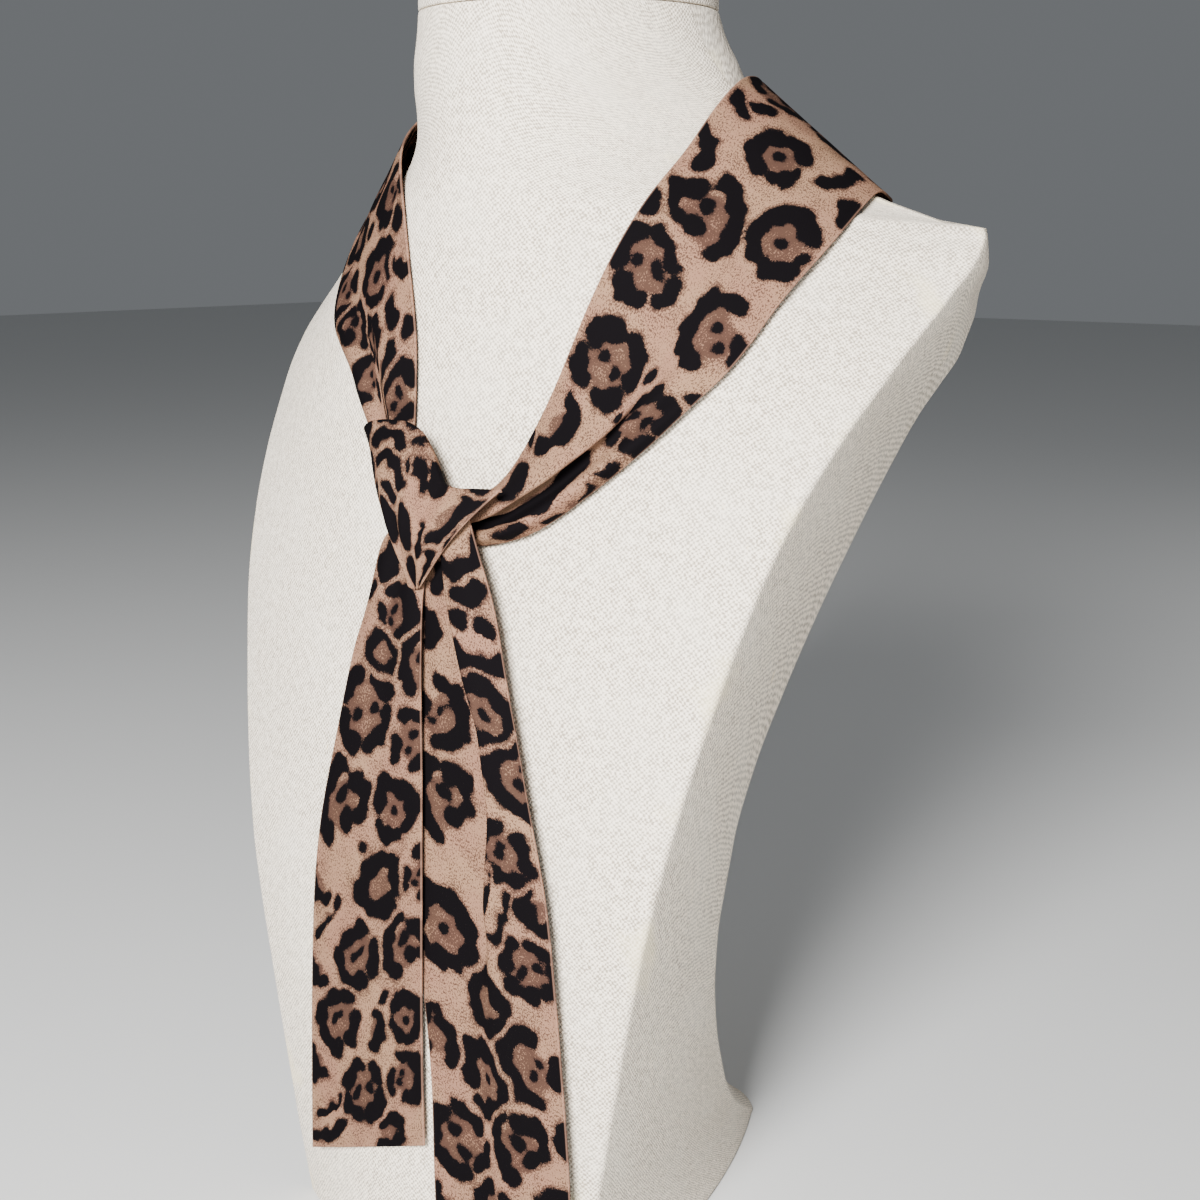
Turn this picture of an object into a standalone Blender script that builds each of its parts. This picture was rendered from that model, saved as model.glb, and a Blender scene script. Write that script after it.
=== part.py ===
"""Ribbon scarf tied with a half knot round a limbless display bust.

The scarf is one long flat tube of cloth.  It is built here as the stretches that show: the back of
the neck, the two straps, the wrap over the knot and the two hanging tails.  The bust is a smooth
padded form with a cut arm side on each hand and a round cap on the neck.  It stands on its own base.

Tables are in millimetres and are turned into metres once, where the points are made.
+Z is up, the front of the bust faces -Y and the left shoulder of the bust is on +X.
"""
import math

import bmesh
import bpy
import numpy as np
from mathutils import Vector
from mathutils.bvhtree import BVHTree

MM = 0.001

# driving sizes, mm
NECK_TOP = 422.0
CAP_HEIGHT = 6.0
CAP_ROUND = 3.0
SEAM_GAP = 0.3
EDGE_ROUND = 2.5
CLOTH_THICK = 1.1
BODY_GAP = 0.6
LAYER_GAP = 0.8

# the finished part is moved by this in y, which brings its middle over the origin
PLAN_SHIFT = -4.34
# a height inside the bust that all of the ribbon faces away from
MIDDLE_HEIGHT = 340.0
# a place well in front of everything
FAR_FORWARD = -300.0

# points round half a section of the bust
FRONT_STEPS = 15
SIDE_STEPS = 3
REAR_STEPS = 9
# rows of the bust's table that lie further apart than this get one more between them
WIDE_GAP = 12.5
# the round at the bust's front edge is never more than this share of its arm side
ROUND_SHARE = 0.3

# rows of points along each stretch of the ribbon
NEAR_COUNT = 30
BACK_COUNT = 29
FAR_COUNT = 26

# One row is one section of the bust.
# level, y of the centre front, half width at the front edge, y of that edge,
# half width at the rear edge, y of that edge, outward swell of the arm side,
# y of the centre back, drop of the section at its edges, fullness power
BUST_ROWS = (
    (0.0, -88.0, 67.7, -69.2, 21.7, 89.5, 9.0, 102.0, 0.0, 2.0),
    (10.0, -88.5, 68.7, -70.4, 28.9, 71.8, 6.0, 88.0, 0.0, 2.0),
    (20.0, -89.0, 69.7, -71.6, 36.2, 56.0, 4.0, 76.5, 0.0, 2.0),
    (35.0, -89.5, 71.3, -73.1, 45.7, 37.0, 2.5, 63.0, 0.0, 2.0),
    (50.0, -89.5, 74.1, -73.4, 53.3, 23.0, 2.0, 53.0, 0.0, 2.0),
    (75.0, -89.5, 78.9, -73.7, 63.1, 5.0, 1.5, 41.0, 0.0, 2.0),
    (100.0, -89.5, 83.8, -73.7, 70.4, -6.2, 1.0, 35.0, 0.0, 2.0),
    (125.0, -89.0, 88.8, -73.1, 76.4, -11.5, 1.0, 33.0, 0.0, 2.0),
    (150.0, -88.0, 93.7, -70.6, 81.5, -12.0, 1.0, 35.0, 0.0, 2.0),
    (175.0, -86.5, 98.8, -66.3, 85.9, -7.0, 1.0, 42.0, 0.0, 2.0),
    (200.0, -84.0, 104.2, -60.7, 90.6, 2.8, 1.0, 51.0, 0.0, 2.0),
    (225.0, -80.5, 110.0, -53.8, 95.7, 14.3, 1.0, 59.0, 0.0, 2.0),
    (250.0, -76.0, 115.5, -44.1, 100.5, 28.8, 1.0, 66.0, 0.0, 2.0),
    (270.0, -72.0, 120.5, -33.3, 106.1, 38.3, 1.0, 70.0, 0.0, 2.0),
    (290.0, -67.5, 126.5, -19.2, 112.6, 48.0, 1.0, 73.0, 0.0, 2.0),
    (300.0, -65.0, 129.9, -11.1, 116.9, 54.0, 1.0, 74.0, 0.0, 2.0),
    (310.0, -62.5, 132.9, -1.7, 121.0, 59.5, 1.0, 74.5, 0.0, 2.05),
    (322.0, -60.5, 135.4, 9.4, 125.6, 58.5, 1.0, 74.5, 2.0, 2.15),
    (335.0, -58.5, 137.5, 20.9, 131.5, 51.5, 0.6, 74.0, 5.0, 2.4),
    (350.0, -56.5, 139.7, 33.6, 137.0, 47.0, 0.2, 73.0, 8.0, 2.7),
    (358.0, -55.3, 137.3, 41.8, 136.8, 45.0, 0.0, 71.0, 7.5, 2.8),
    (364.0, -54.5, 124.0, 38.5, 123.6, 41.5, 0.0, 69.0, 11.2, 2.8),
    (370.0, -53.6, 104.0, 31.0, 103.7, 34.0, 0.0, 66.5, 9.5, 2.6),
    (376.0, -52.9, 87.0, 25.0, 86.8, 27.0, 0.0, 65.5, 6.5, 2.3),
    (382.5, -52.2, 74.5, 20.0, 74.3, 22.0, 0.0, 64.0, 4.0, 1.9),
    (390.0, -51.7, 66.0, 15.0, 65.9, 16.5, 0.0, 62.5, 2.0, 1.5),
    (398.0, -51.3, 59.5, 10.0, 59.4, 11.0, 0.0, 60.5, 1.0, 1.15),
    (408.0, -50.8, 54.5, 5.0, 54.4, 5.5, 0.0, 56.0, 0.0, 1.0),
    (415.0, -50.4, 52.0, 2.5, 51.9, 3.0, 0.0, 53.0, 0.0, 1.0),
    (422.0, -50.0, 50.6, 0.5, 50.5, 1.0, 0.0, 51.0, 0.0, 1.0),
)

# One row is one section across the ribbon, from its neck-side edge to its arm-side edge.
# neck-side x, y, z; arm-side x, y, z; place and height of the crease, height of the hollow,
# place and height of the lip (places are shares of the width, heights stand off the cloth's lie)
NEAR_ROWS = (
    (62.3, 8.5, 395.5, 104.0, 30.5, 361.5, 0.45, 0.0, 0.0, 0.85, 0.0),
    (62.5, -4.0, 386.3, 106.0, 13.0, 353.2, 0.45, 0.0, 0.0, 0.85, 0.0),
    (60.5, -16.0, 373.5, 105.0, -4.0, 341.5, 0.50, 0.0, 0.0, 0.85, 0.0),
    (58.2, -31.0, 360.0, 100.2, -20.0, 326.5, 0.55, 0.3, 0.0, 0.87, 0.0),
    (53.8, -44.0, 341.0, 95.3, -33.0, 311.0, 0.62, 0.8, 0.2, 0.90, 0.3),
    (49.3, -53.0, 321.0, 86.5, -45.0, 297.0, 0.72, 2.0, 0.4, 0.93, 1.0),
    (45.3, -59.0, 304.0, 75.0, -55.0, 283.0, 0.70, 4.5, 0.6, 0.92, 2.5),
    (39.8, -65.0, 287.0, 60.0, -64.5, 268.5, 0.60, 7.0, 0.6, 0.88, 4.5),
    (31.5, -71.0, 272.0, 45.0, -71.5, 257.5, 0.42, 6.2, 0.8, 0.83, 5.0),
    (20.0, -74.5, 266.0, 28.0, -75.0, 252.5, 0.38, 3.0, 0.8, 0.80, 2.5),
    (11.0, -76.0, 264.5, 15.0, -76.5, 251.5, 0.38, 1.5, 0.6, 0.80, 1.5),
)
FAR_ROWS = (
    (-62.3, 8.5, 395.5, -104.0, 30.5, 361.5, 0.45, 0.0, 0.0, 0.85, 0.0),
    (-58.2, -10.0, 388.6, -92.5, 6.0, 359.2, 0.45, 0.0, 0.0, 0.85, 0.0),
    (-45.5, -33.0, 378.0, -81.0, -21.5, 345.8, 0.45, 0.0, 0.0, 0.85, 0.3),
    (-30.0, -49.0, 361.0, -74.0, -39.0, 324.0, 0.45, 0.4, 0.2, 0.86, 1.2),
    (-20.5, -56.5, 341.0, -60.5, -50.5, 312.0, 0.45, 0.8, 0.3, 0.86, 2.2),
    (-14.0, -61.0, 323.0, -47.0, -58.0, 303.0, 0.42, 1.5, 0.5, 0.84, 3.0),
    (-10.5, -64.0, 309.0, -39.0, -62.5, 295.0, 0.40, 2.2, 0.8, 0.82, 3.2),
    (-7.0, -68.5, 292.0, -30.5, -66.5, 286.0, 0.38, 1.6, 0.8, 0.80, 2.0),
    (-6.5, -70.0, 285.0, -26.0, -69.0, 280.5, 0.38, 0.8, 0.4, 0.80, 1.0),
)
BACK_ROWS = (
    (62.3, 8.5, 395.5, 104.0, 30.5, 361.5, 0.45, 0.0, 0.0, 0.85, 0.0),
    (58.5, 23.0, 399.5, 101.0, 43.0, 360.2, 0.45, 0.0, 0.0, 0.85, 0.0),
    (50.0, 40.0, 399.0, 88.0, 60.0, 355.2, 0.45, 0.0, 0.0, 0.85, 0.0),
    (27.0, 57.0, 397.0, 48.0, 74.5, 341.5, 0.45, 0.0, 0.0, 0.85, 0.0),
    (0.0, 63.5, 395.5, 0.0, 77.8, 336.5, 0.45, 0.0, 0.0, 0.85, 0.0),
    (-27.0, 57.0, 397.0, -48.0, 74.5, 341.5, 0.45, 0.0, 0.0, 0.85, 0.0),
    (-50.0, 40.0, 399.0, -88.0, 60.0, 355.2, 0.45, 0.0, 0.0, 0.85, 0.0),
    (-58.5, 23.0, 399.5, -101.0, 43.0, 360.2, 0.45, 0.0, 0.0, 0.85, 0.0),
    (-62.3, 8.5, 395.5, -104.0, 30.5, 361.5, 0.45, 0.0, 0.0, 0.85, 0.0),
)
# the tails run from the edge on the right hand of the bust to the edge on its left hand
LEFT_TAIL_ROWS = (
    (-7.0, -77.2, 255.5, 6.5, -80.6, 248.0, 0.40, 1.2, 0.4, 0.75, 1.0),
    (-11.0, -80.0, 251.0, 9.0, -81.5, 243.0, 0.40, 1.4, 0.4, 0.75, 1.2),
    (-14.0, -81.5, 240.0, 10.5, -84.5, 234.0, 0.40, 1.4, 0.3, 0.75, 1.2),
    (-17.5, -83.0, 226.0, 11.5, -86.5, 220.0, 0.40, 1.2, 0.2, 0.75, 1.0),
    (-22.0, -84.5, 212.0, 12.5, -88.0, 207.0, 0.40, 1.0, 0.2, 0.75, 0.8),
    (-29.2, -86.0, 184.0, 14.0, -89.7, 182.0, 0.40, 0.8, 0.3, 0.75, 0.5),
    (-35.3, -87.0, 160.0, 14.8, -91.0, 162.0, 0.40, 0.6, 0.4, 0.75, 0.4),
    (-39.8, -87.2, 136.0, 15.0, -91.6, 143.0, 0.40, 0.6, 0.5, 0.75, 0.3),
    (-42.5, -87.2, 108.0, 14.8, -92.0, 120.0, 0.40, 0.7, 0.5, 0.75, 0.3),
    (-44.0, -87.2, 80.0, 14.3, -92.0, 95.0, 0.40, 0.7, 0.5, 0.75, 0.3),
    (-45.2, -87.0, 53.0, 14.0, -91.8, 71.0, 0.40, 0.6, 0.4, 0.75, 0.3),
    (-46.4, -86.5, 30.0, 14.0, -91.5, 51.0, 0.40, 0.6, 0.4, 0.75, 0.3),
)
RIGHT_TAIL_ROWS = (
    (8.0, -79.0, 249.0, 29.0, -82.5, 263.0, 0.30, 0.6, 1.6, 0.60, 1.6),
    (7.0, -80.5, 241.0, 35.5, -83.5, 248.0, 0.36, 0.4, 2.2, 0.62, 2.2),
    (6.0, -81.5, 231.0, 41.5, -84.5, 234.0, 0.40, 0.3, 3.0, 0.66, 2.8),
    (5.5, -83.0, 216.0, 47.5, -86.0, 213.0, 0.46, 0.2, 3.6, 0.72, 3.2),
    (5.0, -85.0, 198.0, 52.5, -86.7, 194.0, 0.54, 0.0, 3.6, 0.78, 3.0),
    (5.0, -86.8, 180.0, 57.0, -87.0, 175.0, 0.58, 0.0, 3.2, 0.80, 2.6),
    (6.5, -88.4, 155.0, 63.0, -87.2, 150.0, 0.50, 0.0, 2.8, 0.74, 2.4),
    (9.0, -89.3, 132.0, 66.0, -86.8, 128.0, 0.50, 0.0, 1.8, 0.74, 1.6),
    (13.0, -89.9, 105.0, 67.5, -85.5, 102.0, 0.52, 0.0, 0.8, 0.76, 0.8),
    (16.0, -90.0, 75.0, 69.0, -84.0, 72.0, 0.50, 0.0, 0.4, 0.75, 0.4),
    (16.5, -90.0, 48.0, 69.5, -82.5, 44.0, 0.50, 0.0, 0.4, 0.75, 0.4),
    (17.5, -90.0, 14.0, 69.5, -81.5, 12.0, 0.50, 0.0, 0.4, 0.75, 0.4),
)

# One row is one gather of the wrap.  It starts at the tip and runs up to the roll, then behind it.
# x and z where it turns over the roll, y of the roll, y of the fullest place, sideways bow,
# how deep and how far down the cloth goes on behind the roll
WRAP_TIP = (8.0, -86.0, 237.5)
WRAP_TIP_SPREAD = 5.0
WRAP_TIP_RISE = 1.5
WRAP_RAYS = (
    (-24.5, 285.0, -74.0, -75.5, 2.5, 1.0, 2.0),
    (-23.5, 286.5, -75.5, -81.5, 2.5, 2.0, 4.0),
    (-18.0, 289.0, -77.5, -87.5, 1.5, 3.0, 6.0),
    (-10.0, 290.0, -78.5, -90.5, 0.5, 3.5, 7.0),
    (-2.5, 290.0, -79.0, -92.0, 0.0, 3.5, 7.0),
    (4.5, 288.0, -79.5, -91.5, 0.0, 3.5, 7.0),
    (11.0, 281.5, -80.5, -92.5, 0.0, 3.0, 6.0),
    (18.5, 271.5, -82.0, -91.0, 0.0, 2.0, 3.0),
    (25.0, 271.0, -83.0, -90.5, 0.0, 1.5, 1.5),
    (33.0, 271.5, -83.0, -89.0, 0.0, 1.0, 1.0),
    (42.5, 272.0, -82.5, -87.0, -1.0, 0.6, 0.6),
)

LINEN_COLOUR = (0.66, 0.63, 0.57, 1.0)
CAP_COLOUR = (0.64, 0.61, 0.55, 1.0)
PRINT_COLOUR = (0.33, 0.22, 0.17, 1.0)


def smooth_table(rows, keys, places):
    """Rows of a table read at any place, by cubics that never run past the rows."""
    rows = np.asarray(rows, dtype=float)
    keys = np.asarray(keys, dtype=float)
    step = np.diff(keys)[:, None]
    slope = np.diff(rows, axis=0) / step
    before = slope[:-1]
    after = slope[1:]
    same_way = before * after > 0.0
    total = np.where(same_way, before + after, 1.0)
    tangent = np.empty_like(rows)
    tangent[1:-1] = np.where(same_way, 2.0 * before * after / total, 0.0)
    tangent[0] = slope[0]
    tangent[-1] = slope[-1]
    index = np.clip(np.searchsorted(keys, places, side="right") - 1, 0, len(keys) - 2)
    width = step[index]
    t = ((places - keys[index]) / width[:, 0])[:, None]
    first = (2.0 * t ** 3 - 3.0 * t ** 2 + 1.0) * rows[index]
    second = (t ** 3 - 2.0 * t ** 2 + t) * width * tangent[index]
    third = (3.0 * t ** 2 - 2.0 * t ** 3) * rows[index + 1]
    fourth = (t ** 3 - t ** 2) * width * tangent[index + 1]
    return first + second + third + fourth


def half_section(front, wide, edge, rear_wide, rear, swell, back, power):
    """x and y from the centre front round the arm side to the centre back, on the +X half."""
    angle = np.linspace(0.0, math.pi / 2.0, FRONT_STEPS + 1)
    front_x = wide * np.sin(angle)
    front_y = edge + (front - edge) * np.cos(angle) ** power
    share = np.linspace(0.0, 1.0, SIDE_STEPS + 2)[1:-1]
    side = np.array([rear_wide - wide, rear - edge])
    length = math.hypot(side[0], side[1])
    rise = swell * 4.0 * share * (1.0 - share)
    side_x = wide + side[0] * share + rise * side[1] / length
    side_y = edge + side[1] * share - rise * side[0] / length
    turn = np.linspace(0.0, math.pi / 2.0, REAR_STEPS + 1)
    rear_x = rear_wide * np.cos(turn)
    rear_y = rear + (back - rear) * np.sin(turn) ** power
    xs = np.concatenate([front_x, side_x, rear_x])
    ys = np.concatenate([front_y, side_y, rear_y])
    return round_corner(xs, ys, FRONT_STEPS, min(EDGE_ROUND, ROUND_SHARE * length))


def round_corner(xs, ys, corner, size):
    """The point at the front edge becomes three points on a small round."""
    here = np.array([xs[corner], ys[corner]])
    before = np.array([xs[corner - 1], ys[corner - 1]]) - here
    after = np.array([xs[corner + 1], ys[corner + 1]]) - here
    first = here + before / np.linalg.norm(before) * size
    last = here + after / np.linalg.norm(after) * size
    middle = 0.5 * here + 0.25 * first + 0.25 * last
    xs = np.concatenate([xs[:corner], [first[0], middle[0], last[0]], xs[corner + 1:]])
    ys = np.concatenate([ys[:corner], [first[1], middle[1], last[1]], ys[corner + 1:]])
    return xs, ys


def bust_levels():
    """The table's levels, with one more halfway where two rows lie far apart."""
    levels = []
    rows = [row[0] for row in BUST_ROWS]
    for low, high in zip(rows[:-1], rows[1:]):
        levels.append(low)
        if high - low > WIDE_GAP:
            levels.append(0.5 * (low + high))
    levels.append(rows[-1])
    return np.array(levels)


def bust_rings():
    levels = bust_levels()
    table = np.array(BUST_ROWS)
    values = smooth_table(table[:, 1:], table[:, 0], levels)
    rings = []
    for level, row in zip(levels, values):
        front, wide, edge, rear_wide, rear, swell, back, drop, power = row
        xs, ys = half_section(front, wide, edge, rear_wide, rear, swell, back, power)
        ring_x = np.concatenate([xs, -xs[-2:0:-1]])
        ring_y = np.concatenate([ys, ys[-2:0:-1]])
        ring_z = level - drop * (np.abs(ring_x) / wide) ** 2
        rings.append(np.stack([ring_x, ring_y, ring_z], axis=1))
    return np.array(rings)


def lofted_faces(count, around):
    """Quads between closed rings, with the first ring and the last ring filled."""
    faces = []
    for i in range(count - 1):
        for j in range(around):
            a = i * around + j
            b = i * around + (j + 1) % around
            faces.append((a, b, b + around, a + around))
    faces.append(tuple(range(around - 1, -1, -1)))
    faces.append(tuple(range((count - 1) * around, count * around)))
    return faces


def add_object(name, points, faces, material):
    mesh = bpy.data.meshes.new(name)
    placed = (points + np.array([0.0, PLAN_SHIFT, 0.0])) * MM
    mesh.from_pydata([tuple(p) for p in placed], [], faces)
    mesh.materials.append(material)
    shape = bmesh.new()
    shape.from_mesh(mesh)
    bmesh.ops.recalc_face_normals(shape, faces=shape.faces[:])
    bmesh.ops.triangulate(shape, faces=shape.faces[:])
    shape.to_mesh(mesh)
    shape.free()
    thing = bpy.data.objects.new(name, mesh)
    bpy.context.scene.collection.objects.link(thing)
    return thing


def make_material(name, colour, roughness):
    material = bpy.data.materials.new(name)
    material.use_nodes = True
    shader = material.node_tree.nodes["Principled BSDF"]
    shader.inputs["Base Color"].default_value = colour
    shader.inputs["Roughness"].default_value = roughness
    shader.inputs["Metallic"].default_value = 0.0
    material.diffuse_color = colour
    return material


def search_tree(points, faces):
    return BVHTree.FromPolygons([Vector(p) for p in points], faces, all_triangles=False)


def cap_rings(top_ring):
    """The neck cap: the neck's own top outline, carried up and rounded over."""
    rings = []
    centre = np.array([0.0, 0.5 * (top_ring[:, 1].min() + top_ring[:, 1].max()), 0.0])
    base = NECK_TOP + SEAM_GAP
    radius = 0.5 * (top_ring[:, 0].max() - top_ring[:, 0].min())
    heights = [0.0, CAP_HEIGHT - CAP_ROUND]
    insets = [0.0, 0.0]
    for k in range(1, 5):
        angle = 0.5 * math.pi * k / 4.0
        heights.append(CAP_HEIGHT - CAP_ROUND + CAP_ROUND * math.sin(angle))
        insets.append(CAP_ROUND * (1.0 - math.cos(angle)))
    for height, inset in zip(heights, insets):
        ring = (top_ring - centre) * (1.0 - inset / radius) + centre
        ring[:, 2] = base + height
        rings.append(ring)
    return np.array(rings)


def profile(rows, steps):
    """Place and height across the ribbon: edge, crease, hollow, lip, edge, with steps between."""
    count = len(rows)
    crease_at, crease_up, hollow_up, lip_at, lip_up = rows.T
    zero = np.zeros(count)
    places = np.stack([zero, crease_at, 0.5 * (crease_at + lip_at), lip_at, zero + 1.0], axis=1)
    heights = np.stack([zero, crease_up, hollow_up, lip_up, zero], axis=1)
    at = []
    up = []
    for k, parts in enumerate(steps):
        for part in range(parts):
            share = part / parts
            ease = share * share * (3.0 - 2.0 * share)
            at.append(places[:, k] + (places[:, k + 1] - places[:, k]) * share)
            up.append(heights[:, k] + (heights[:, k + 1] - heights[:, k]) * ease)
    at.append(places[:, -1])
    up.append(heights[:, -1])
    return np.stack(at, axis=1), np.stack(up, axis=1)


def ribbon_sheet(rows, count, steps=(5, 2, 2, 2)):
    """Grid of points on the ribbon's inner face, row by row along its length."""
    table = np.array(rows)
    keys = np.arange(len(table), dtype=float)
    values = smooth_table(table, keys, np.linspace(0.0, keys[-1], count))
    first = values[:, 0:3]
    last = values[:, 3:6]
    at, up = profile(values[:, 6:11], steps)
    along = np.gradient(0.5 * (first + last), axis=0)
    away = np.cross(last - first, along)
    away /= np.linalg.norm(away, axis=1)[:, None]
    middle = 0.5 * (first + last) - np.array([0.0, 0.0, MIDDLE_HEIGHT])
    away *= np.sign(np.einsum("ij,ij->i", away, middle))[:, None]
    lie = first[:, None, :] + (last - first)[:, None, :] * at[:, :, None]
    return lie + away[:, None, :] * up[:, :, None]


def wrap_sheet(count_front, count_back):
    """Grid of the knot's wrap: gathers fan out from the tip, swell and turn back over the roll."""
    rays = np.array(WRAP_RAYS)
    keys = np.arange(len(rays), dtype=float)
    rays = smooth_table(rays, keys, np.linspace(0.0, keys[-1], 2 * len(rays) - 1))
    tip = np.array(WRAP_TIP)
    spread = np.linspace(-0.5, 0.5, len(rays))
    grid = []
    for (roll_x, roll_z, roll_y, full_y, bow, depth, drop), shift in zip(rays, spread):
        start = tip + np.array([WRAP_TIP_SPREAD * shift, 0.0, WRAP_TIP_RISE * abs(shift)])
        roll = np.array([roll_x, roll_y, roll_z])
        sideways = np.array([roll[2] - start[2], 0.0, start[0] - roll[0]])
        sideways /= np.linalg.norm(sideways)
        line = []
        for k in range(count_front + 1):
            share = k / count_front
            point = start + (roll - start) * share
            point = point + sideways * bow * math.sin(math.pi * share ** 0.8)
            full = math.sin(math.pi * share ** 1.25)
            middle_y = 0.5 * (start[1] + roll[1])
            point[1] += (full_y - middle_y) * full
            line.append(point)
        for k in range(1, count_back + 1):
            share = k / count_back
            point = roll + np.array([0.0, depth * math.sin(share * math.pi / 2.0), 0.0])
            point[2] -= drop * (1.0 - math.cos(share * math.pi / 2.0))
            line.append(point)
        grid.append(line)
    return np.array(grid)


def sheet_normals(grid):
    """Unit normals of a grid of points, pointing away from the middle of the bust."""
    along = np.gradient(grid, axis=0)
    across = np.gradient(grid, axis=1)
    normals = np.cross(along, across)
    normals /= np.maximum(np.linalg.norm(normals, axis=2), 1e-9)[:, :, None]
    outward = grid - np.array([0.0, 0.0, MIDDLE_HEIGHT])
    flip = np.sign((normals * outward).sum())
    return normals * flip


def cells(grid):
    """Index of each cell's first corner, with the middle of the cell and of its edges."""
    a, b, c, d = grid[:-1, :-1], grid[1:, :-1], grid[:-1, 1:], grid[1:, 1:]
    middle = 0.25 * (a + b + c + d)
    spots = np.stack([middle, 0.5 * (a + b), 0.5 * (a + c), 0.5 * (a + d), 0.5 * (b + c)], axis=2)
    for index in np.ndindex(spots.shape[:2]):
        yield index, spots[index]


def inside(point, tree):
    """True where most of three straight lines from the point leave the form an odd number of times."""
    votes = 0
    for ahead in (Vector((0.13, 0.29, 0.95)), Vector((-0.83, 0.31, 0.46)), Vector((0.52, -0.21, -0.83))):
        crossings = 0
        spot = tree.ray_cast(point, ahead)[0]
        while spot is not None:
            crossings += 1
            spot = tree.ray_cast(spot + ahead * 1e-3, ahead)[0]
        votes += crossings % 2
    return votes > 1


def way_out(point, tree, gap):
    """The move that brings a point to the gap outside a form, or no move where it is clear."""
    point = Vector(point)
    spot, normal, _, distance = tree.find_nearest(point)
    if inside(point, tree):
        return np.array(spot - point) * (1.0 + gap / max(distance, 1e-6))
    if distance >= gap:
        return np.zeros(3)
    return np.array(point - spot) * (gap / max(distance, 1e-6) - 1.0)


def push_off(grid, tree, gap):
    """Points that lie in a form, or nearer than the gap, are moved out along its surface."""
    for index in np.ndindex(grid.shape[:2]):
        grid[index] += way_out(grid[index], tree, gap)
    moves = np.zeros_like(grid)
    for (i, j), spots in cells(grid):
        for spot in spots:
            move = way_out(spot, tree, gap)
            for corner in ((i, j), (i + 1, j), (i, j + 1), (i + 1, j + 1)):
                if np.linalg.norm(move) > np.linalg.norm(moves[corner]):
                    moves[corner] = move
    return grid + moves


def push_forward(grid, tree, gap):
    """Points behind the front of another piece are moved forward, clear of it."""
    ahead = Vector((0.0, 1.0, 0.0))
    for index in np.ndindex(grid.shape[:2]):
        x, y, z = grid[index]
        spot, _, _, _ = tree.ray_cast(Vector((x, FAR_FORWARD, z)), ahead)
        if spot is not None and y > spot.y - gap:
            grid[index][1] = spot.y - gap
    moves = np.zeros(grid.shape[:2])
    for (i, j), spots in cells(grid):
        for point in spots:
            spot = tree.ray_cast(Vector((point[0], FAR_FORWARD, point[2])), ahead)[0]
            if spot is not None:
                behind = point[1] - spot.y + gap
                moves[i:i + 2, j:j + 2] = np.maximum(moves[i:i + 2, j:j + 2], behind)
    grid[:, :, 1] -= moves
    return grid


def closed_sheet(inner, outer):
    """A closed solid between two grids of points, with walls round its edge."""
    rows, cols = inner.shape[:2]
    points = np.concatenate([inner.reshape(-1, 3), outer.reshape(-1, 3)])
    shift = rows * cols
    faces = []
    for i in range(rows - 1):
        for j in range(cols - 1):
            a = i * cols + j
            faces.append((a, a + 1, a + cols + 1, a + cols))
            faces.append((a + shift, a + cols + shift, a + cols + 1 + shift, a + 1 + shift))
    border = [(0, j) for j in range(cols)]
    border += [(i, cols - 1) for i in range(1, rows)]
    border += [(rows - 1, j) for j in range(cols - 2, -1, -1)]
    border += [(i, 0) for i in range(rows - 2, 0, -1)]
    for (i, j), (k, m) in zip(border, border[1:] + border[:1]):
        a = i * cols + j
        b = k * cols + m
        faces.append((a, a + shift, b + shift, b))
    return points, faces


def thick_sheet(grid):
    return closed_sheet(grid, grid + sheet_normals(grid) * CLOTH_THICK)


def drawn_in(grid, start, end):
    """The first row and the last row are drawn in along the cloth by these lengths."""
    grid = grid.copy()
    for row, neighbour, length in ((0, 1, start), (-1, -2, end)):
        step = grid[neighbour] - grid[row]
        grid[row] += step / np.linalg.norm(step, axis=1)[:, None] * length
    return grid


def cut_sheets(grid, cuts):
    """One long sheet made thick and cut at these rows, with a narrow seam at each cut."""
    outer = grid + sheet_normals(grid) * CLOTH_THICK
    half = 0.5 * SEAM_GAP
    stops = [0] + list(cuts) + [len(grid) - 1]
    pieces = []
    for first, last in zip(stops[:-1], stops[1:]):
        start = half if first > 0 else 0.0
        end = half if last < len(grid) - 1 else 0.0
        part = slice(first, last + 1)
        pieces.append(closed_sheet(drawn_in(grid[part], start, end), drawn_in(outer[part], start, end)))
    return pieces


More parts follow.
